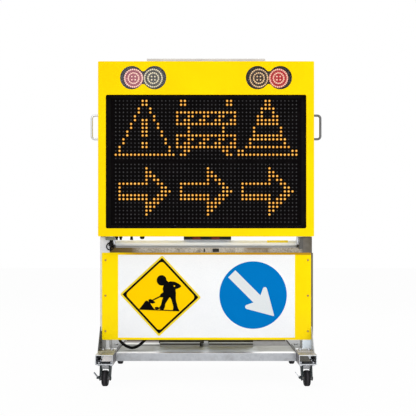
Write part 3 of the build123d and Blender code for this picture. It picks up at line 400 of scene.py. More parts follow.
@dataclass(frozen=True)
class SidedSteel(Finish):
    """Bar or sheet steel of two tones, one on each side of the sign."""

    left: Colour
    right: Colour
    worn: Colour
    metal: float

    def sockets(self, sheet: PaintSheet) -> Sockets:
        """Wires the finish."""
        rubbed = sheet.noise(220.0, 4.0, (1.0, 1.0, 0.08))
        tone = sheet.by_side(self.left, self.right)
        return sheet.look(sheet.blend(rubbed.ramp(0.45, 0.75) * 0.3, tone, self.worn), 0.3 + rubbed * 0.15,
                          rubbed, 0.00003, metal=self.metal)


@dataclass(frozen=True)
class MouldedPlastic(Finish):
    """Moulded or blasted plastic with a fine grain and rubbed patches."""

    colour: Colour
    rubbed: Colour
    gloss: float = 0.5
    grain: float = 1100.0
    shine: float = 0.3

    def sockets(self, sheet: PaintSheet) -> Sockets:
        """Wires the finish."""
        grain = sheet.noise(self.grain, 2.0)
        patches = sheet.noise(30.0, 5.0).ramp(0.45, 0.75)
        return sheet.look(sheet.blend(patches * 0.7 + grain * 0.2, self.colour, self.rubbed),
                          self.gloss + grain * 0.15 - patches * 0.06, grain, 0.00005, self.shine)


@dataclass(frozen=True)
class LampCup(MouldedPlastic):
    """Blasted lamp housing, paler on the left of the sign and darker on the right, as painted light and shade."""

    right: Colour = (0.026, 0.025, 0.023)

    def sockets(self, sheet: PaintSheet) -> Sockets:
        """Wires the finish."""
        patches = sheet.noise(55.0, 4.0).ramp(0.4, 0.7) * 0.3
        tone = sheet.by_side(self.colour, self.right)
        return super().sockets(sheet) | {"Base Color": sheet.blend(patches, tone, self.rubbed)}


@dataclass(frozen=True)
class Rubber(Finish):
    """Matt rubber with scuffed, dusty wear."""

    colour: Colour
    dust: Colour
    wear: float = 0.5
    shine: float = 0.15

    def sockets(self, sheet: PaintSheet) -> Sockets:
        """Wires the finish."""
        grain = sheet.noise(1400.0, 2.0)
        scuffs = sheet.noise(120.0, 6.0, (1.0, 0.4, 0.4))
        body = sheet.blend(scuffs.ramp(0.5, 0.75) * self.wear, self.colour, self.dust)
        return sheet.look(self.zoned(sheet, body, scuffs), 0.62 + scuffs * 0.25, grain * 0.6 + scuffs * 0.8, 0.0001,
                          self.shine)


@dataclass(frozen=True)
class SignFilm(Finish):
    """Retroreflective sheeting with a fine honeycomb of cells under a clear face."""

    colour: Colour
    seam: Colour
    shine: float = 0.0

    def sockets(self, sheet: PaintSheet) -> Sockets:
        """Wires the finish."""
        walls = sheet.cells(280.0).ramp(0.42, 0.62)
        tint = sheet.noise(5.0, 3.0).ramp(0.4, 0.8)
        return sheet.look(sheet.blend(walls * 0.55 + tint * 0.4, self.colour, self.seam), 0.3 + walls * 0.12,
                          walls, 0.00003, self.shine)


@dataclass(frozen=True)
class ModuleFace(Finish):
    """Black matt face of the LED modules with fine dust."""

    colour: Colour = (0.002, 0.0015, 0.0016)
    dust: Colour = (0.006, 0.0045, 0.005)

    def sockets(self, sheet: PaintSheet) -> Sockets:
        """Wires the finish."""
        grain = sheet.noise(600.0, 3.0)
        dust = sheet.noise(18.0, 5.0).ramp(0.5, 0.8)
        return sheet.look(sheet.blend(dust * 0.6 + grain * 0.2, self.colour, self.dust), 0.55 + grain * 0.3, grain,
                          0.0001, 0.02)


@dataclass(frozen=True)
class GlowingLens(Finish):
    """A lit or dark lens whose colour goes from its middle to its rim, each one a little different."""

    middle: Colour
    rim: Colour
    glow: float = 0.5
    soft_from: float = 0.4
    body: float = 0.8

    def sockets(self, sheet: PaintSheet) -> Sockets:
        """Wires the finish."""
        edge = sheet.add("ShaderNodeAttribute", {"attribute_name": "rim"}, output="Fac").ramp(self.soft_from, 1.0)
        flicker = sheet.noise(37.0, 2.0).ramp(0.35, 0.65, 0.0, 0.3)
        shade = sheet.blend((edge + flicker).ramp(0.0, 1.0), self.middle, self.rim)
        base = sheet.blend(edge.ramp(0.0, 1.0, 1.0 - self.body, 1.0), shade, (0.004, 0.004, 0.004))
        return sheet.look(base, 0.35 + edge * 0.2, shine=0.05) | {
            "Emission Color": shade, "Emission Strength": self.glow}


@dataclass(frozen=True)
class LampPlate(Finish):
    """Reflector plates of the warning lamps, red outside and dark inside, paler on the left of the sign as painted
    light.
    """

    split: float = 0.321
    outer: tuple[Colour, Colour] = ((0.36, 0.11, 0.15), (0.42, 0.008, 0.018))
    inner: tuple[Colour, Colour] = ((0.085, 0.085, 0.084), (0.03, 0.018, 0.014))

    def sockets(self, sheet: PaintSheet) -> Sockets:
        """Wires the finish."""
        mottle = sheet.noise(160.0, 4.0)
        outside = abs(sheet.axes()[0]) > self.split
        plate = sheet.blend(outside, sheet.by_side(*self.inner), sheet.by_side(*self.outer))
        return sheet.look(sheet.blend(mottle.ramp(0.5, 0.75) * 0.2, plate, (0.3, 0.2, 0.18)), 0.4 + mottle * 0.2,
                          mottle, 0.0002, 0.06)


@dataclass(frozen=True)
class ClearCover(Finish):
    """Clear plastic cover with a little haze and dust."""

    clear: Colour = (0.75, 0.72, 0.72)
    dusty: Colour = (0.85, 0.84, 0.83)
    haze: float = 0.012

    def sockets(self, sheet: PaintSheet) -> Sockets:
        """Wires the finish."""
        dust = sheet.noise(45.0, 5.0).ramp(0.45, 0.8)
        look = sheet.look(sheet.blend(dust, self.clear, self.dusty), 0.12 + dust * 0.2)
        return look | {"Alpha": self.haze + dust * 0.012}


@dataclass(frozen=True)
class CircuitBoard(Finish):
    """Green lacquered board with traces and pads."""

    lacquer: Colour = (0.012, 0.13, 0.045)
    copper: Colour = (0.03, 0.24, 0.09)
    solder: Colour = (0.62, 0.6, 0.52)

    def sockets(self, sheet: PaintSheet) -> Sockets:
        """Wires the finish."""
        rows = sheet.cells(220.0, (1.0, 1.0, 0.12))
        pads = sheet.cells(90.0).ramp(0.16, 0.2)
        traces = sheet.blend(rows.ramp(0.3, 0.34), self.copper, self.lacquer)
        return sheet.look(sheet.blend(pads, self.solder, traces), 0.28 + pads * 0.1, rows.ramp(0.3, 0.36), 0.00005)


POST_FACE = below(-0.198)
BASE_FRONT = below(-0.19)
BASE_REAR = above(-0.19)
RAIL_TOP = above(0.1626)
FOOT_PLATE = below(0.1695)
TRAY_RIGHT = above(0.257)
TRAY_LEFT = below(-0.257)


def foot_zones(rear: Colour, edge: Colour, front: Colour) -> tuple[Zone, ...]:
    """Gives the zones of a post's foot plate, from behind the post to its front: painted shade behind the post, a
    painted highlight along the plate's edge and a given tone at the front.
    """
    spans = {BASE_REAR: rear, (-0.224, -0.19): edge, below(-0.224): front}
    return tuple(Zone(tone, y=span, z=FOOT_PLATE) for span, tone in spans.items())


def side_zones(tone: Colour, *spans: Spot, soft: float = 0.0006, depth: float = 1.0) -> tuple[Zone, ...]:
    """Gives one zone of the same tone for each span across the sign."""
    return tuple(Zone(tone, span, soft=soft, depth=depth) for span in spans)


class Coat(Enum):
    """The finishes of this sign."""

    YELLOW = PowderCoat("yellow_powder_coat")
    # The board's paint takes the painted shadow of the display box above 0.655 m.
    BOARD_PAINT = PowderCoat("board_powder_coat", (0.955, 0.73, 0.001), (0.94, 0.66, 0.001), 0.655)
    # Rails: the tops behind the posts and the inner side faces are darker as painted shade. The tops in front of the
    # posts are toned light at the left rail's outer edge, olive over the rest of the left rail and grey on the right
    # rail.
    RAIL = ZincCoat("rail_zinc", (0.58, 0.6, 0.62), (0.46, 0.475, 0.495), zones=(
        Zone((0.66, 0.64, 0.57), y=BASE_FRONT, z=RAIL_TOP),
        Zone((0.21, 0.215, 0.21), y=BASE_REAR, z=RAIL_TOP),
        Zone((0.3, 0.295, 0.235), (-0.528, 0.0), BASE_FRONT, RAIL_TOP, 0.0015),
        Zone((0.35, 0.335, 0.32), above(0.0), BASE_FRONT, RAIL_TOP),
        Zone((0.12, 0.105, 0.11), (-0.4636, 0.4636))))
    # The beams' top faces are much lighter than their fronts, as a painted highlight.
    BEAM = ZincCoat("beam_zinc", (0.35, 0.36, 0.38), (0.27, 0.28, 0.295), zones=(
        Zone((0.86, 0.86, 0.86), z=above(0.1534)),))
    # The two posts are one zinc given different tones for painted light and shade. The left post's front face is
    # darker below the board top as painted shade. It is near black low down and dark grey under the board, also
    # painted shade, with a lighter band as a painted highlight.
    LEFT_POST = ZincCoat("left_post_zinc", (0.57, 0.575, 0.59), (0.46, 0.465, 0.48), 70.0, 0.4, 0.6, zones=(
        Zone((0.54, 0.52, 0.46), y=POST_FACE, z=below(0.665), soft=0.0015),
        Zone((0.03, 0.032, 0.026), y=POST_FACE, z=below(0.262), soft=0.0015),
        Zone((0.22, 0.22, 0.21), above(-0.541), POST_FACE, below(0.215)),
        Zone((0.5, 0.51, 0.51), (-0.521, -0.5035), POST_FACE, below(0.213)),
        *foot_zones((0.16, 0.165, 0.163), (0.85, 0.85, 0.84), (0.3, 0.28, 0.19))))
    # The right post's front face is lighter just under the board as painted light, and near black above 0.235 m as
    # painted shade.
    RIGHT_POST = ZincCoat("right_post_zinc", (0.62, 0.635, 0.66), (0.5, 0.515, 0.54), 70.0, 0.4, 0.6, 0.1, zones=(
        Zone((0.57, 0.63, 0.68), y=POST_FACE, z=(0.17, 0.235), soft=0.0015),
        Zone((0.07, 0.06, 0.045), y=POST_FACE, z=above(0.235), soft=0.0015, depth=0.98),
        *foot_zones((0.15, 0.16, 0.155), (0.85, 0.85, 0.85), (0.34, 0.32, 0.29))))
    # The upper beam is warm zinc with heavy dark brown mottling. Its dark brown left end is painted shade, the brown
    # patch on the right is a painted reflection, and the near black inside the hollow beam is painted shade.
    STAINED = ZincCoat("stained_beam_zinc", (0.5, 0.465, 0.41), (0.17, 0.145, 0.11), 170.0, 0.5, 0.35, 0.8,
                       (0.07, 0.045, 0.014), zones=(
                           Zone((0.1, 0.06, 0.006), below(-0.365), soft=0.05, depth=0.95),
                           Zone((0.16, 0.11, 0.05), (0.205, 0.335), z=above(0.675), soft=0.03, depth=0.8),
                           Zone((0.004, 0.003, 0.002), y=(-0.1952, -0.1592), z=(0.648, 0.692))))
    # The tray's zones are painted light and shade. Darker zones and dark lines beside and behind the cases are
    # painted shade, and a light band on the left is painted light. A pale bluish front between the cases is painted
    # light that also offsets the yellow light bounced from the board.
    TRAY = ZincCoat("galvanised_tray", (0.38, 0.385, 0.365), (0.28, 0.285, 0.268), 55.0, 0.5, 0.5, 0.3, zones=(
        Zone((0.17, 0.165, 0.165), TRAY_RIGHT, above(0.02), soft=0.008),
        Zone((0.05, 0.05, 0.05), TRAY_RIGHT, (0.014, 0.032), soft=0.008),
        Zone((0.28, 0.25, 0.255), TRAY_LEFT, above(0.13), soft=0.008),
        Zone((0.85, 0.85, 0.84), TRAY_LEFT, (0.062, 0.13), soft=0.008),
        Zone((0.06, 0.065, 0.06), TRAY_LEFT, (0.004, 0.052), soft=0.008),
        Zone((0.82, 0.87, 0.93), (-0.257, 0.257), below(-0.02), soft=0.05, depth=0.85)))
    ZINC = ZincCoat("zinc_plate", (0.56, 0.57, 0.6), (0.33, 0.34, 0.37), 160.0, 0.28)
    # The fork legs and their flanges are near black as painted shade. The crown between the legs keeps the zinc.
    FORK = ZincCoat("fork_zinc", (0.56, 0.57, 0.585), (0.35, 0.36, 0.375), 160.0, 0.45, 0.1, 0.1, shine=0.2,
                    zones=side_zones((0.016, 0.024, 0.025), below(-0.5245), (-0.4895, 0.4895), above(0.5245)))
    SCREW = ZincCoat("brown_screw_plate", (0.42, 0.26, 0.05), (0.26, 0.15, 0.03), 300.0, 0.45, 0.3)
    # Plinths that fill the gap under the case fronts: tray-grey at the bottom and near black above 0.163 m as
    # painted shade.
    PLINTH = ZincCoat("plinth_zinc", (0.3, 0.305, 0.31), (0.25, 0.255, 0.26), 55.0, 0.5, 0.4, 0.2, zones=(
        Zone((0.02, 0.021, 0.02), z=above(0.163), depth=0.97),))
    BLACKENED = ZincCoat("blackened_steel", (0.01, 0.01, 0.011), (0.004, 0.004, 0.0045), 220.0, 0.55, 0.0, 0.0,
                         shine=0.12)
    # The pivot tube's bluish base offsets the yellow light bounced onto it from the display, as painted light. Its
    # lower side is darker as painted shade.
    TUBE = DrawnMetal("bright_tube", (0.91, 0.955, 1.0), (0.86, 0.905, 0.96), 0.3, 0.05, zones=(
        Zone((0.5, 0.53, 0.57), z=below(0.703), soft=0.01),))
    BRIGHT = DrawnMetal("bright_strip", (0.62, 0.66, 0.74), (0.54, 0.575, 0.65), 0.5, 0.1)
    ANODISED = DrawnMetal("anodised_rail", (0.6, 0.575, 0.545), (0.46, 0.44, 0.42), 0.42, 0.8)
    # The tray lip is darker on the right as painted shade, like the tray behind it.
    LIP = SidedSteel("tray_lip_steel", (0.3, 0.27, 0.275), (0.16, 0.155, 0.15), (0.24, 0.23, 0.22), 0.4)
    # A dark olive strip of painted shade at the right post's outer front edge.
    EDGE = SidedSteel("edge_strip_steel", (0.1, 0.085, 0.05), (0.115, 0.095, 0.045), (0.16, 0.14, 0.09), 0.2)
    # The gussets are near black on the left as painted shade and light on the right as painted light.
    GUSSET = SidedSteel("gusset_steel", (0.028, 0.03, 0.028), (0.5, 0.51, 0.53), (0.3, 0.3, 0.3), 0.2)
    # The rail plates are light in the left rail's open end as painted light, and near black in the right rail's as
    # painted shade.
    STIFFENER = SidedSteel("stiffener_steel", (0.62, 0.6, 0.595), (0.045, 0.042, 0.03), (0.27, 0.26, 0.24), 0.1)
    # The grip bars are light on the left and dark on the right, as a painted reflection.
    GRIP = SidedSteel("grip_bar_steel", (0.6, 0.61, 0.63), (0.105, 0.105, 0.11), (0.4, 0.4, 0.41), 0.9)
    GUIDE = SidedSteel("guide_block_steel", (0.13, 0.14, 0.11), (0.04, 0.037, 0.034), (0.1, 0.1, 0.09), 0.3)
    BEZEL = MouldedPlastic("bezel_plastic", (0.0035, 0.003, 0.003), (0.007, 0.006, 0.006), 0.5, 900.0, 0.03)
    BLACK = MouldedPlastic("matt_black_plastic", (0.006, 0.006, 0.006), (0.014, 0.014, 0.014), shine=0.1)
    CASE = MouldedPlastic("dark_case_moulding", (0.022, 0.022, 0.021), (0.045, 0.045, 0.042))
    LID = MouldedPlastic("lid_plastic", (0.05, 0.05, 0.052), (0.09, 0.09, 0.092), 0.45)
    BATTERY = MouldedPlastic("battery_moulding", (0.02, 0.021, 0.024), (0.05, 0.05, 0.055), 0.4)
    CONTROL = MouldedPlastic("control_box_paint", (0.01, 0.009, 0.008), (0.022, 0.02, 0.018), 0.45, 500.0, 0.1)
    RED_CAP = MouldedPlastic("red_cap_plastic", (0.13, 0.016, 0.006), (0.2, 0.035, 0.015), 0.4, 800.0, 0.15)
    HUB = MouldedPlastic("hub_moulding", (0.1, 0.1, 0.105), (0.17, 0.17, 0.175), 0.45)
    CUP = LampCup("lamp_cup_plastic", (0.125, 0.135, 0.165), (0.1, 0.105, 0.12), 0.5, 700.0, 0.1)
    TYRE = Rubber("scuffed_tyre_rubber", (0.006, 0.006, 0.007), (0.03, 0.03, 0.03), zones=side_zones(
        (0.04, 0.037, 0.042), (-0.511, -0.503), (0.503, 0.511), soft=0.004, depth=0.8))
    PAD = Rubber("seat_pad_rubber", (0.012, 0.012, 0.012), (0.03, 0.03, 0.03), 0.3)
    CABLE = Rubber("cable_sheath", (0.004, 0.004, 0.0045), (0.018, 0.018, 0.018), 0.3, 0.06)
    WHITE_FILM = SignFilm("white_sheeting", (0.86, 0.872, 0.89), (0.8, 0.815, 0.84), 0.05)
    RIM_FILM = SignFilm("warning_rim_film", (0.84, 0.65, 0.04), (0.79, 0.59, 0.035))
    FIELD_FILM = SignFilm("warning_field_film", (0.98, 0.605, 0.001), (0.93, 0.555, 0.001))
    BLUE_FILM = SignFilm("blue_sheeting", (0.001, 0.175, 0.51), (0.001, 0.155, 0.47))
    ARROW_FILM = SignFilm("arrow_film", (0.7, 0.735, 0.75), (0.64, 0.675, 0.7), 0.05)
    PRINT_BLACK = SignFilm("black_print", (0.003, 0.003, 0.003), (0.006, 0.006, 0.006))
    LABEL_FILM = SignFilm("tube_label_film", (0.92, 0.78, 0.06), (0.86, 0.72, 0.05), 0.05)
    MODULE = ModuleFace("louvred_module_face")
    LIT = GlowingLens("lit_amber_lens", (1.0, 0.58, 0.13), (0.62, 0.22, 0.012), 1.0, 0.35, 0.4)
    UNLIT = GlowingLens("dark_lens", (0.075, 0.071, 0.075), (0.004, 0.003, 0.004), 0.0, 0.1, 1.0)
    PALE_RED_BEAD = GlowingLens("pale_red_bead", (0.98, 0.7, 0.58), (0.74, 0.32, 0.32))
    DEEP_RED_BEAD = GlowingLens("deep_red_bead", (0.92, 0.55, 0.42), (0.78, 0.24, 0.18))
    PALE_BEAD = GlowingLens("pale_cream_bead", (0.8, 0.72, 0.52), (0.36, 0.33, 0.25))
    WARM_BEAD = GlowingLens("warm_cream_bead", (0.86, 0.62, 0.35), (0.25, 0.13, 0.06))
    LAMP_PLATE = LampPlate("lamp_plate")
    CLEAR = ClearCover("clear_lamp_cover")
    BOARD = CircuitBoard("circuit_board")


def set_coat(piece: Thing, coat: Coat) -> None:
    """Gives a piece or a carried-over node one finish in all of its slots."""
    piece.data.materials.clear()
    piece.data.materials.append(coat.value.material())


def linked(name: str, data: bpy.types.ID) -> Thing:
    """Makes an object and links it to the scene.

    Args:
        name: its name.
        data: its mesh, curve, camera or light.

    Returns:
        The object.
    """
    thing = bpy.data.objects.new(name, data)
    bpy.context.scene.collection.objects.link(thing)
    return thing


def placed(name: str, mesh: Mesh, body: str, coat: Coat | None = None) -> None:
    """Puts a finished mesh into the scene as a piece.

    Args:
        name: the piece's name.
        mesh: mesh in the shared frame.
        body: CAD body that it rides on.
        coat: finish, if the mesh doesn't carry one yet.
    """
    piece = linked(name, mesh)
    mesh.name = name
    if coat:
        set_coat(piece, coat)
    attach(piece, body)
    LOG.info("piece %s: %d faces on %s", name, len(mesh.polygons), body)


def baked(thing: Thing) -> Mesh:
    """Turns a helper object with its modifiers into a plain mesh.

    Args:
        thing: the helper, which is removed.

    Returns:
        The mesh.
    """
    mesh = bpy.data.meshes.new_from_object(thing.evaluated_get(bpy.context.evaluated_depsgraph_get()))
    bpy.data.objects.remove(thing)
    return mesh


def finished(work: bmesh.types.BMesh, bevel: float = 0.0) -> Mesh:
    """Turns the faces outwards and rounds every edge if asked to.

    Args:
        work: shape, which is used up.
        bevel: width of the round, if there is one.

    Returns:
        The mesh.
    """
    bmesh.ops.recalc_face_normals(work, faces=work.faces)
    if bevel:
        bmesh.ops.bevel(work, geom=work.edges[:], offset=bevel, segments=BEVEL_STEPS, affect="EDGES")
    mesh = bpy.data.meshes.new("piece")
    work.to_mesh(mesh)
    work.free()
    return mesh


def prism(work: bmesh.types.BMesh, outline: list[Place], shift: Place) -> None:
    """Adds a closed prism: an outline and the same one shifted, with walls between.

    Args:
        work: shape that it is added to.
        outline: corners of the near end.
        shift: way from the near end to the far one.
    """
    near = [work.verts.new(spot) for spot in outline]
    far = [work.verts.new(Vector(spot) + Vector(shift)) for spot in outline]
    work.faces.new(near)
    work.faces.new(far[::-1])
    for index, vert in enumerate(near):
        work.faces.new((vert, near[index - 1], far[index - 1], far[index]))


def bars(boxes: Iterable[tuple[Place, Place]], bevel: float) -> Mesh:
    """Makes bevelled bars.

    Args:
        boxes: two opposite corners of each bar.
        bevel: width of the round on every edge.

    Returns:
        One mesh with all of them.
    """
    work = bmesh.new()
    for (x0, y0, z0), (x1, y1, z1) in boxes:
        prism(work, [(x0, y0, z0), (x1, y0, z0), (x1, y0, z1), (x0, y0, z1)], (0.0, y1 - y0, 0.0))
    return finished(work, bevel)


def front_of(node: str) -> Vector:
    """Gives the middle of a node's front face."""
    low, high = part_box(node)
    return Vector((0.5 * (low.x + high.x), low.y, 0.5 * (low.z + high.z)))


def rounded(corners: Iterable[Place], steps: int = 8) -> Outline:
    """Rounds the corners of a polygon.

    Args:
        corners: x, z and radius of each corner in turn.
        steps: segments in each round.

    Returns:
        The outline's points.
    """
    corners = list(corners)
    points: Outline = []
    for index, (x, z, radius) in enumerate(corners):
        if radius <= 0.0:
            points.append((x, z))
            continue
        here = Vector((x, z))
        to_last = (Vector(corners[index - 1][:2]) - here).normalized()
        to_next = (Vector(corners[(index + 1) % len(corners)][:2]) - here).normalized()
        half = 0.5 * to_last.angle(to_next)
        middle = here + (to_last + to_next).normalized() * (radius / math.sin(half))
        start, end = (here + way * (radius / math.tan(half)) - middle for way in (to_last, to_next))
        turn = start.angle_signed(end)
        for step in range(steps + 1):
            points.append(tuple(middle + Matrix.Rotation(-turn * step / steps, 2) @ start))
    return points


def cornered(*corners: Place) -> Outline:
    """Rounds a polygon that is given in millimetres."""
    return rounded([(x * MM, z * MM, corner * MM) for x, z, corner in corners], CORNER_STEPS)


def ring(radius: float, steps: int, middle: Spot = (0.0, 0.0), start: float = 0.0) -> Outline:
    """Gives points round a circle, the first one a part of a step from the right."""
    angles = [FULL_TURN * (step + start) / steps for step in range(steps)]
    return [(middle[0] + radius * math.cos(angle), middle[1] + radius * math.sin(angle)) for angle in angles]


@dataclass(frozen=True)
class Film:
    """A thin film that is cut from outlines, for a face that looks to -y.

    An inner outline is a hole. The turn is anticlockwise as seen from the front. The lift counts film
    thicknesses, so that a film on a film stands proud of it.
    """

    outlines: list[Outline]
    turn: float = 0.0
    lift: int = 1

    def cut(self, front: Vector) -> Mesh:
        """Makes the film.

        Args:
            front: middle of the face that carries it.

        Returns:
            A closed mesh.
        """
        curve = bpy.data.curves.new("film", "CURVE")
        curve.dimensions = "2D"
        curve.fill_mode = "BOTH"
        curve.extrude = 0.5 * FILM_THICKNESS * self.lift
        for outline in self.outlines:
            spline = curve.splines.new("POLY")
            spline.points.add(len(outline) - 1)
            for point, (x, z) in zip(spline.points, outline):
                point.co = (x, z, 0.0, 1.0)
            spline.use_cyclic_u = True
        sheet = baked(linked("film", curve))
        sit = front - Vector((0.0, curve.extrude, 0.0))
        sheet.transform(Matrix.Translation(sit) @ Matrix.Rotation(UPRIGHT, 4, "X")
                        @ Matrix.Rotation(self.turn, 4, "Z"))
        work = bmesh.new()
        work.from_mesh(sheet)
        bmesh.ops.remove_doubles(work, verts=work.verts, dist=MERGE_DISTANCE)
        return finished(work)


def laid(front: Vector, *films: Film) -> Mesh:
    """Lays films on one face and joins them.

    Args:
        front: middle of the face.
        films: what is laid on it.

    Returns:
        One mesh with all of them.
    """
    work = bmesh.new()
    for film in films:
        work.from_mesh(film.cut(front))
    mesh = bpy.data.meshes.new("films")
    work.to_mesh(mesh)
    work.free()
    return mesh


class LensSetter:
    """A Geometry Nodes tree that sets a flattened lens on every point of a carrier."""

    SOCKETS = {"Carrier": "Geometry", "Lens Radius": "Float", "Bulge": "Float", "Segments": "Int", "Rings": "Int",
               "Glass": "Material"}

    def __init__(self) -> None:
        """Builds the tree once."""
        self.tree = bpy.data.node_groups.new("lens_setter", "GeometryNodeTree")
        for name, kind in self.SOCKETS.items():
            self.tree.interface.new_socket(name, in_out="INPUT", socket_type=f"NodeSocket{kind}")
        self.tree.interface.new_socket("Lenses", in_out="OUTPUT", socket_type="NodeSocketGeometry")
        self._wire(Sheet(self.tree))

    @staticmethod
    def _wire(sheet: Sheet) -> None:
        """Adds the nodes: a flattened sphere, its rim value, one on each point, realised and glazed.

        Args:
            sheet: empty tree.
        """
        given = sheet.split("NodeGroupInput")
        ball = sheet.add("GeometryNodeMeshUVSphere", inputs={
            "Segments": given["Segments"], "Rings": given["Rings"], "Radius": given["Lens Radius"]})
        squeeze = sheet.add("ShaderNodeCombineXYZ", inputs={0: 1.0, 1: 1.0, 2: given["Bulge"]})
        lens = sheet.add("GeometryNodeTransform", inputs={
            "Geometry": ball, "Rotation": (UPRIGHT, 0.0, 0.0), "Scale": squeeze})
        spot = sheet.split("ShaderNodeSeparateXYZ", {0: sheet.add("GeometryNodeInputPosition")})
        edge = (spot["X"] * spot["X"] + spot["Z"] * spot["Z"]) ** 0.5 / given["Lens Radius"]
        lens = sheet.add("GeometryNodeStoreNamedAttribute", {"data_type": "FLOAT", "domain": "POINT"},
                         {"Geometry": lens, "Name": "rim", "Value": edge})
        many = sheet.add("GeometryNodeInstanceOnPoints", inputs={"Points": given["Carrier"], "Instance": lens})
        real = sheet.add("GeometryNodeRealizeInstances", inputs={"Geometry": many})
        soft = sheet.add("GeometryNodeSetShadeSmooth", inputs={"Geometry": real})
        glazed = sheet.add("GeometryNodeSetMaterial", inputs={"Geometry": soft, "Material": given["Glass"]})
        sheet.add("NodeGroupOutput", inputs={"Lenses": glazed})

    def mesh(self, spots: list[Place], radius: float, bulge: float, facets: tuple[int, int], coat: Coat) -> Mesh:
        """Makes the lenses for a list of places.

        Args:
            spots: middle of each lens on the face that carries it.
            radius: lens radius.
            bulge: height of the lens over its radius.
            facets: segments and rings of one lens.
            coat: the lens finish.

        Returns:
            One plain mesh with all lenses.
        """
        carrier = bpy.data.meshes.new("lens_spots")
        carrier.from_pydata(spots, [], [])
        thing = linked("lens_spots", carrier)
        setter = thing.modifiers.new("lenses", "NODES")
        setter.node_group = self.tree
        sizes = {"Lens Radius": radius, "Bulge": bulge, "Segments": facets[0], "Rings": facets[1],
                 "Glass": coat.value.material()}
        for socket in self.tree.interface.items_tree:
            if socket.name in sizes:
                setter[socket.identifier] = sizes[socket.name]
        return baked(thing)


@dataclass
class Studio:
    """Camera, floor and soft light that match the photograph's view."""

    eye: Place = (0.0, -4.08, 0.74)
    sensor: float = 36.0
    lens: float = 64.42
    shift: Spot = (0.0047, 0.0745)
    floor_side: float = 30.0
    floor_grey: Colour = (0.9, 0.9, 0.9)
    floor_white: float = 0.96
    white: Colour = (1.0, 1.0, 1.0)
    ambient: float = 0.62
    aim: Place = (0.0, 0.0, 0.95)
    lamps: tuple[tuple[str, Place, float, float], ...] = (
        ("key", (-1.6, -2.6, 4.6), 2.6, 42.0),
        ("fill", (2.6, -3.2, 1.2), 2.0, 26.0),
        ("low", (0.2, -3.6, 0.6), 1.8, 36.0),
        ("back", (0.4, 3.0, 3.2), 2.4, 40.0),
    )

    def camera(self) -> None:
        """Sets the camera level at the photograph's height, with its framing as shift."""
        data = bpy.data.cameras.new("photo_camera")
        data.sensor_width = self.sensor
        data.lens = self.lens
        data.shift_x, data.shift_y = self.shift
        eye = linked("photo_camera", data)
        eye.location = self.eye
        eye.rotation_euler = (UPRIGHT, 0.0, 0.0)
        bpy.context.scene.camera = eye
        bpy.context.scene.view_settings.view_transform = "Standard"

    @staticmethod
    def _seen(sheet: Sheet) -> Term:
        """Gives 1 for rays from the camera and for those that show the background in metal and glass."""
        rays = sheet.split("ShaderNodeLightPath")
        return rays["Is Camera Ray"] | rays["Is Glossy Ray"] | rays["Is Transmission Ray"]

    def world(self) -> None:
        """Makes a white background that lights the object at a plain level."""
        world = bpy.data.worlds.new("studio")
        sheet = Sheet(cleared(world))
        level = self._seen(sheet) * (1.0 - self.ambient) + self.ambient
        light = sheet.add("ShaderNodeBackground", inputs={"Color": self.white, "Strength": level})
        sheet.add("ShaderNodeOutputWorld", inputs={"Surface": light})
        bpy.context.scene.world = world

    def floor(self) -> None:
        """Lays a pale floor that keeps the object's shadow."""
        half = 0.5 * self.floor_side
        mesh = bpy.data.meshes.new("floor")
        mesh.from_pydata([(-half, -half, 0.0), (half, -half, 0.0), (half, half, 0.0), (-half, half, 0.0)], [],
                         [(0, 1, 2, 3)])
        floor = linked("floor", mesh)
        material = bpy.data.materials.new("pale_floor")
        sheet = Sheet(cleared(material))
        matt = sheet.add("ShaderNodeBsdfDiffuse", inputs={"Color": self.floor_grey})
        plain = sheet.add("ShaderNodeEmission", inputs={"Color": self.white, "Strength": 1.0})
        mixed = sheet.add("ShaderNodeMixShader", inputs={
            0: self._seen(sheet) * self.floor_white, 1: matt, 2: plain})
        sheet.add("ShaderNodeOutputMaterial", inputs={"Surface": mixed})
        mesh.materials.append(material)
        floor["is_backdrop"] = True

    def lights(self) -> None:
        """Hangs the soft boxes, each turned to the middle of the sign."""
        for name, spot, side, power in self.lamps:
            data = bpy.data.lights.new(name, "AREA")
            data.shape = "SQUARE"
            data.size = side
            data.energy = power
            lamp = linked(name, data)
            lamp.location = spot
            lamp.rotation_euler = (Vector(self.aim) - Vector(spot)).to_track_quat("-Z", "Y").to_euler()

    def build(self) -> None:
        """Builds the whole studio."""
        self.camera()
        self.world()
        self.floor()
        self.lights()


@dataclass
class PowerCable:
    """Slack supply cable from the left post to the left battery case."""

    diameter: float = 0.0155
    length: float = 0.515
    route: tuple[Place, ...] = (
        (-0.482, -0.15, 0.33), (-0.455, -0.15, 0.33), (-0.432, -0.151, 0.32), (-0.421, -0.152, 0.297),
        (-0.427, -0.152, 0.27), (-0.442, -0.152, 0.246), (-0.455, -0.152, 0.223), (-0.456, -0.152, 0.206),
        (-0.443, -0.151, 0.19), (-0.42, -0.15, 0.174), (-0.396, -0.148, 0.164), (-0.37, -0.146, 0.168),
        (-0.347, -0.142, 0.182), (-0.324, -0.138, 0.205), (-0.299, -0.133, 0.231), (-0.274, -0.125, 0.254),
        (-0.248, -0.114, 0.272), (-0.225, -0.098, 0.285), (-0.212, -0.075, 0.291), (-0.212, -0.05, 0.291))

    def build(self) -> None:
        curve = bpy.data.curves.new("supply_cable", "CURVE")
        curve.dimensions = "3D"
        curve.bevel_depth = 0.5 * self.diameter
        curve.bevel_resolution = 4
        curve.resolution_u = 8
        curve.use_fill_caps = True
        spline = curve.splines.new("NURBS")
        spline.points.add(len(self.route) - 1)
        for point, place in zip(spline.points, self.route):
            point.co = (*place, 1.0)
        spline.order_u = 3
        spline.use_endpoint_u = True
        cable = linked("supply_cable", curve)
        set_coat(cable, Coat.CABLE)
        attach(cable, "chassis")
        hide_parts("power_cable")
        LOG.info("piece supply_cable: cord of %.3f m", self.length)


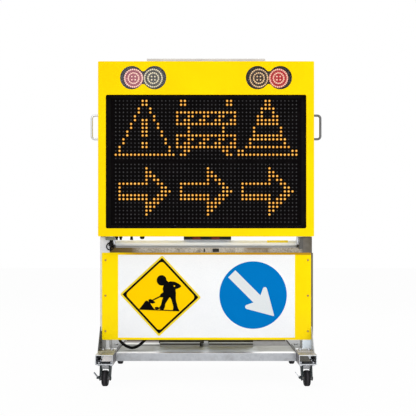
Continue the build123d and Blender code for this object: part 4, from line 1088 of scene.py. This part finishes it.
class Sign(Enum):
    """Dot pictures of the modules, one character for each dot. The arrow has a heavier lower edge."""

    CAUTION = """
    .......##.......
    .......##.......
    ......#..#......
    ......#..#......
    .....#....#.....
    .....#.##.#.....
    ....#..##..#....
    ....#..##..#....
    ...#...##...#...
    ...#...##...#...
    ..#..........#..
    ..#....##....#..
    .#.....##.....#.
    .#............#.
    ################"""
    BARRIER = """
    .##..........##.
    .##..........##.
    ................
    ################
    #..##..##..##..#
    #.##..##..##..##
    ################
    ...#........#...
    ...#........#...
    ################
    #..##..##..##..#
    #.##..##..##..##
    ################
    ..##........##..
    .##..........##."""
    CONE = """
    .......##.......
    .......##.......
    ......####......
    ......#..#......
    .....##..##.....
    .....######.....
    .....######.....
    ....#......#....
    ....#......#....
    ....########....
    ...##########...
    ...#........#...
    ..############..
    ##............##
    ################"""
    ARROW = """
    ................
    ........#.......
    ........##......
    ........###.....
    ........#.##....
    .########..##...
    .#..........##..
    .#..........###.
    .########..###..
    .########.###...
    ........####....
    ........###.....
    ........##......
    ........#......."""

    def dots(self) -> set[tuple[int, int]]:
        """Gives row and column of each lit dot."""
        return {(row, column) for row, line in enumerate(self.value.split()) for column, mark in enumerate(line)
                if mark == "#"}


@dataclass
class DotDisplay:
    """The lenses of the six LED modules."""

    pitch: float = 0.01974
    raised: float = 0.0025
    side: int = 16
    upper: tuple[Sign, ...] = (Sign.CAUTION, Sign.BARRIER, Sign.CONE)
    lower: Sign = Sign.ARROW
    joint: float = 0.0005
    lens_radius: float = 0.0064
    bulge: float = 0.55
    facets: tuple[int, int] = (10, 5)

    def _spots(self) -> tuple[list[Place], list[Place]]:
        """Finds the lenses' places on the modules' face.

        Returns:
            Places of the lit and of the dark lenses.
        """
        low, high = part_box("led_modules")
        columns = len(self.upper)
        step = (high.x - low.x + self.joint) / columns
        lit: list[Place] = []
        dark: list[Place] = []
        for across, down in product(range(columns), (0, 1)):
            shown = (self.lower if down else self.upper[across]).dots()
            middle_x = 0.5 * (low.x + high.x) + (across - 0.5 * (columns - 1)) * self.side * self.pitch
            middle_z = high.z - step * (down + 0.5) + 0.5 * self.joint + self.raised
            for row, column in product(range(self.side), repeat=2):
                spot = (middle_x + (column - 0.5 * (self.side - 1)) * self.pitch, low.y,
                        middle_z - (row - 0.5 * (self.side - 1)) * self.pitch)
                (lit if (row, column) in shown else dark).append(spot)
        return lit, dark

    def build(self, setter: LensSetter) -> None:
        """Sets all lenses as two pieces.

        Args:
            setter: what sets them.
        """
        lit, dark = self._spots()
        for name, spots, coat in (("lit_lenses", lit, Coat.LIT), ("dark_lenses", dark, Coat.UNLIT)):
            mesh = setter.mesh(spots, self.lens_radius, self.bulge, self.facets, coat)
            placed(name, mesh, "display")


class Lamp(Enum):
    """The four lamps: side of the sign, side of the pair and bead finish."""

    LEFT_OUTER = (-1, 1, Coat.PALE_RED_BEAD)
    LEFT_INNER = (-1, -1, Coat.PALE_BEAD)
    RIGHT_INNER = (1, -1, Coat.WARM_BEAD)
    RIGHT_OUTER = (1, 1, Coat.DEEP_RED_BEAD)


@dataclass
class WarningLamps:
    """LED beads of the four warning lamps, in rings on their plates."""

    pair_x: float = 0.321
    half_gap: float = 0.0505
    rings: tuple[tuple[float, int], ...] = ((0.045, 28), (0.027, 17), (0.0118, 4))
    bead_radius: float = 0.0056
    bulge: float = 0.7
    facets: tuple[int, int] = (12, 6)

    def build(self, setter: LensSetter) -> None:
        """Sets the beads of every lamp.

        Args:
            setter: what sets them.
        """
        plate = front_of("warning_lamps")
        for lamp in Lamp:
            side, half, coat = lamp.value
            middle = (side * (self.pair_x + half * self.half_gap), plate.z)
            spots = [(x, plate.y, z) for radius, count in self.rings for x, z in ring(radius, count, middle, 0.5)]
            mesh = setter.mesh(spots, self.bead_radius, self.bulge, self.facets, coat)
            placed(f"lamp_beads_{lamp.name.lower()}", mesh, "display")


@dataclass
class RoadworksPlate:
    """Printed films of the diamond roadworks plate."""

    side: float = 0.299
    tilt: float = -2.3
    rim: float = 0.0095
    band: float = 0.0105
    outer_round: float = 0.004
    inner_round: float = 0.018
    overlap: float = 0.002

    @staticmethod
    def _square(side: float, corner: float) -> Outline:
        """Gives a square with round corners."""
        half = 0.5 * side
        return rounded([(half, half, corner), (-half, half, corner), (-half, -half, corner), (half, -half, corner)])

    @staticmethod
    def _figure() -> list[tuple[list[Outline], int]]:
        """Draws the worker, shovel, heap and ground.

        Returns:
            Outlines, each group with its lift.
        """
        head = [(x, 81 * MM + 1.07 * z) for x, z in ring(25.5 * MM, 32, (2.5 * MM, 0.0))]
        neck = cornered((5, 60, 2), (27, 84, 3), (42, 70, 5), (19, 49, 4))
        body = cornered(
            (24, 68, 4), (48, 78, 10), (72, 76, 9), (94, 66, 8), (108, 55, 4), (95, 44.5, 5), (76, 37, 5),
            (80, 18, 9), (80, -7, 10), (83, -27, 8), (89.5, -45, 6), (91, -53.5, 4), (101, -73, 1.5),
            (67, -73, 2), (69, -54.5, 4), (65, -40.5, 6), (57, -16, 8), (48.5, -3.5, 3), (38, -20.5, 8),
            (27, -40, 6), (25, -58, 5), (18.5, -73, 2), (2, -72, 2), (-1, -67, 2), (-14, -71.5, 3),
            (-27, -70, 3), (-27, -60, 4), (-14, -57.5, 4), (-4, -61, 2), (4, -48, 5), (9, -21.5, 6), (17, -2, 3),
            (8, -8, 3), (-6, -6, 3), (0, 9, 3), (14, 20, 4), (9.5, 38.5, 6), (14, 55, 5))
        elbow = ring(4.2 * MM, 16, (70 * MM, 54.5 * MM))
        shaft = cornered((4, 4, 1), (6.5, -2.5, 1), (-43.5, -30, 1), (-46.5, -24.5, 1))
        blade = cornered((-63, -21, 3), (-50, -18.5, 3), (-38, -25, 4), (-23.5, -35.5, 2), (-41, -42, 3),
                         (-58, -37, 3))
        heap = cornered((-108, -73, 1), (-96, -57, 6), (-77, -29, 5), (-69, -26.5, 4), (-51, -38.5, 5),
                        (-48, -47, 3), (-27, -73, 1))
        ground = cornered((-108, -71.5, 0.5), (-108, -76, 0.5), (101, -76.5, 0.5), (101, -72, 0.5))
        return [([head], 3), ([neck], 5), ([body, elbow], 4), ([shaft], 6), ([blade], 5), ([heap], 3), ([ground], 7)]

    def build(self) -> None:
        """Lays the field, the black band and the figure on the plate."""
        face = front_of("roadworks_sign")
        upright = math.radians(self.tilt)
        diamond = upright + DIAGONAL
        outer = self.side - 2 * self.rim
        inner = outer - 2 * self.band
        sheet = Film([self._square(inner + self.overlap, self.inner_round)], diamond)
        placed("roadworks_field", laid(face, sheet), "chassis", Coat.FIELD_FILM)
        band = Film([self._square(outer, self.outer_round), self._square(inner, self.inner_round)], diamond, 2)
        figure = [Film(outlines, upright, lift) for outlines, lift in self._figure()]
        placed("roadworks_print", laid(face, band, *figure), "chassis", Coat.PRINT_BLACK)


@dataclass
class DirectionPlate:
    """Printed films of the round direction plate: blue field and an arrow down to the right."""

    rim: float = 0.0095
    tail: float = 0.157
    tip: float = 0.156
    shaft: float = 0.052
    barb: Spot = (-0.003, 0.092)
    notch: float = 0.028
    rounds: Place = (0.001, 0.011, 0.004)

    def build(self) -> None:
        """Lays the blue field and the arrow on the plate."""
        low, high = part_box("direction_sign")
        face = front_of("direction_sign")
        sheet = Film([ring(0.5 * (high.x - low.x) - self.rim, 128)])
        placed("direction_field", laid(face, sheet), "chassis", Coat.BLUE_FILM)
        half = 0.5 * self.shaft
        back, out = self.barb
        tail, barb, tip = self.rounds
        arrow = rounded([
            (-self.tail, half, tail), (-self.tail, -half, tail), (self.notch, -half, 0.0), (back, -out, barb),
            (self.tip, 0.0, tip), (back, out, barb), (self.notch, half, 0.0)])
        placed("direction_arrow", laid(face, Film([arrow], -DIAGONAL, 2)), "chassis", Coat.ARROW_FILM)


@dataclass
class TubeLabel:
    """Bare yellow label round the upper front of the fold tube."""

    span: Spot = (0.321, 0.432)
    arc: Spot = (22.0, 96.0)
    lift: float = 0.0003
    steps: int = 14

    def build(self) -> None:
        """Bends the label onto the tube."""
        low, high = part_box("pivot_tube")
        radius = 0.5 * (high.z - low.z)
        axis_y, axis_z = 0.5 * (low.y + high.y), 0.5 * (low.z + high.z)
        start, end = self.arc
        angles = [math.radians(start + (end - start) * step / self.steps) for step in range(self.steps + 1)]
        left, right = self.span
        outline = [(left, axis_y - reach * math.cos(angle), axis_z + reach * math.sin(angle))
                   for reach, run in ((radius, angles), (radius + self.lift, angles[::-1])) for angle in run]
        work = bmesh.new()
        prism(work, outline, (right - left, 0.0, 0.0))
        placed("tube_label", finished(work), "display", Coat.LABEL_FILM)


@dataclass
class CaseTrim:
    """Bright strips along the front feet of the battery cases, over plinths that stand on the tray and fill the gap
    under the cases, near black above as painted shade.
    """

    spans: tuple[Spot, ...] = ((-0.25, -0.034), (0.014, 0.256))
    foot: float = 0.0186
    height: float = 0.0052
    thickness: float = 0.0015
    plinth_depth: float = 0.01
    plinth_setback: float = 0.003
    plinth_gap: float = 0.001
    bevel: float = 0.0005

    def _along(self, near: float, far: float, bottom: float, top: float) -> Mesh:
        """Makes one bar along each case between two depths and two heights."""
        return bars((((start, near, bottom), (end, far, top)) for start, end in self.spans), self.bevel)

    def build(self) -> None:
        """Lays the strips on the cases and sets the plinths under them."""
        low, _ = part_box("battery_tubs")
        foot = low.z + self.foot
        strips = self._along(low.y - self.thickness, low.y, foot, foot + self.height)
        placed("case_trim", strips, "chassis", Coat.BRIGHT)
        near = low.y + self.plinth_setback
        plinths = self._along(near, near + self.plinth_depth, low.z, foot - self.plinth_gap)
        placed("case_plinths", plinths, "chassis", Coat.PLINTH)


@dataclass
class RailPlates:
    """Tapered plates under the tops of the two rails, in their open front ends."""

    inner_x: float = 0.466
    outer_low: float = 0.524
    outer_high: float = 0.507
    height: Spot = (0.128, 0.16)
    front: float = -0.362
    sheet: float = 0.003
    bevel: float = 0.0006

    def build(self) -> None:
        """Makes the plate of each rail."""
        low, high = self.height
        outline = ((self.inner_x, low), (self.outer_low, low), (self.outer_high, high), (self.inner_x, high))
        work = bmesh.new()
        for side in (-1, 1):
            prism(work, [(side * x, self.front, z) for x, z in outline], (0.0, self.sheet, 0.0))
        placed("rail_plates", finished(work, self.bevel), "chassis", Coat.STIFFENER)


@dataclass
class BaseTrim:
    """Bent lip along the rear of the tray, and a dark strip of painted shade on the outside of the right post."""

    lip_half: float = 0.458
    lip_height: float = 0.013
    lip_setback: float = 0.001
    lip_sheet: float = 0.003
    strip_front: float = -0.199
    strip_depth: float = 0.014
    strip_sheet: float = 0.0058
    strip_span: Spot = (0.236, 0.668)
    bevel: float = 0.0007

    def build(self) -> None:
        """Sets the lip on the rear beam and the strip against the post."""
        low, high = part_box("rear_beam")
        near = low.y + self.lip_setback
        lip = ((-self.lip_half, near, high.z), (self.lip_half, near + self.lip_sheet, high.z + self.lip_height))
        placed("tray_lip", bars([lip], self.bevel), "chassis", Coat.LIP)
        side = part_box("rail_right")[1].x
        bottom, top = self.strip_span
        strip = ((side, self.strip_front, bottom),
                 (side + self.strip_sheet, self.strip_front + self.strip_depth, top))
        placed("post_edge_strip", bars([strip], self.bevel), "chassis", Coat.EDGE)


@dataclass
class ForkFlanges:
    """Rolled flanges along the front and rear edges of the caster forks' legs."""

    swivel: Spot = (0.507, 0.305)
    leg_inner: float = 0.0252
    reach: float = 0.0075
    sheet: float = 0.003
    front_edge: tuple[Spot, Spot] = ((-0.04, 0.053), (-0.0302, 0.0965))
    rear_edge: tuple[Spot, Spot] = ((-0.0085, 0.053), (0.0236, 0.0965))
    bevel: float = 0.0008

    def build(self) -> None:
        """Makes the flanges of each caster; the rear casters trail the other way."""
        edges = ((*self.front_edge, self.sheet), (*self.rear_edge, -self.sheet))
        for (side, way), (end, turn) in product((("left", -1), ("right", 1)), (("front", 1), ("rear", -1))):
            work = bmesh.new()
            for wall, ((y0, z0), (y1, z1), sheet) in product((-1, 1), edges):
                x = way * self.swivel[0] + wall * self.leg_inner
                outline = [(x, turn * (y - self.swivel[1]), z) for y, z in (
                    (y0, z0), (y1, z1), (y1 + sheet, z1), (y0 + sheet, z0))]
                prism(work, outline, (-wall * self.reach, 0.0, 0.0))
            placed(f"fork_flanges_{end}_{side}", finished(work, self.bevel), f"caster_{end}_{side}",
                   Coat.FORK)


class Dresser:
    """Gives every carried-over CAD node its finish. A star stands for each caster's corner."""

    CORNERS = ("front_left", "front_right", "rear_left", "rear_right")
    COATS: dict[Coat, str] = {
        Coat.YELLOW: "front_shell rear_panel",
        Coat.BOARD_PAINT: "sign_board",
        Coat.RAIL: "rail_left rail_right",
        Coat.BEAM: "front_beam rear_beam",
        Coat.GUSSET: "post_gussets",
        Coat.LEFT_POST: "post_left",
        Coat.RIGHT_POST: "post_right",
        Coat.STAINED: "upper_beam",
        Coat.TRAY: "battery_tray",
        Coat.ZINC: "frame_bolts caster_plates module_bars display_screws power_supply hinge_arms"
                   " brake_pedal_front_left brake_pedal_front_right",
        Coat.FORK: "fork_*",
        Coat.SCREW: "board_screws",
        Coat.TUBE: "pivot_tube",
        Coat.GRIP: "grip_handles",
        Coat.CUP: "lamp_housings",
        Coat.ANODISED: "top_rail",
        Coat.BEZEL: "window_bezel",
        Coat.BLACK: "pivot_bushes bottom_fittings cable_glands rocker_left rocker_right",
        Coat.CASE: "battery_tubs",
        Coat.LID: "battery_lids",
        Coat.BATTERY: "batteries",
        Coat.CONTROL: "control_box control_cover",
        Coat.RED_CAP: "socket_caps",
        Coat.HUB: "hub_*",
        Coat.GUIDE: "plunger_guide",
        Coat.BLACKENED: "lock_plunger",
        Coat.TYRE: "tyre_*",
        Coat.PAD: "rest_pads",
        Coat.CABLE: "power_cable",
        Coat.WHITE_FILM: "white_sheet direction_sign",
        Coat.RIM_FILM: "roadworks_sign",
        Coat.MODULE: "led_modules",
        Coat.LAMP_PLATE: "warning_lamps",
        Coat.CLEAR: "lamp_covers",
        Coat.BOARD: "driver_board",
    }

    def dress(self) -> None:
        """Dresses the nodes and names any that has no finish."""
        left = dict(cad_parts)
        for coat, names in self.COATS.items():
            for name in names.split():
                for corner in self.CORNERS if "*" in name else ("",):
                    set_coat(left.pop(name.replace("*", corner)), coat)
        for name in left:
            LOG.warning("node %s has no finish", name)
        LOG.info("dressed %d nodes", len(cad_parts))


def corners(box: tuple[Vector, Vector]) -> list[list[float]]:
    """Gives a box as plain lists of numbers."""
    return [list(corner) for corner in box]


def main() -> None:
    """Builds the studio, the cable and every sub-assembly in order."""
    logging.basicConfig(level=logging.INFO, format="%(name)s: %(message)s")
    cad_box = corners(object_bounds())
    Studio().build()
    PowerCable().build()
    Dresser().dress()
    setter = LensSetter()
    DotDisplay().build(setter)
    WarningLamps().build(setter)
    for trim in (RoadworksPlate, DirectionPlate, TubeLabel, CaseTrim, RailPlates, BaseTrim, ForkFlanges):
        trim().build()
    {"cad": cad_box, "visual": corners(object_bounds())}


if __name__ == "__main__":
    main()
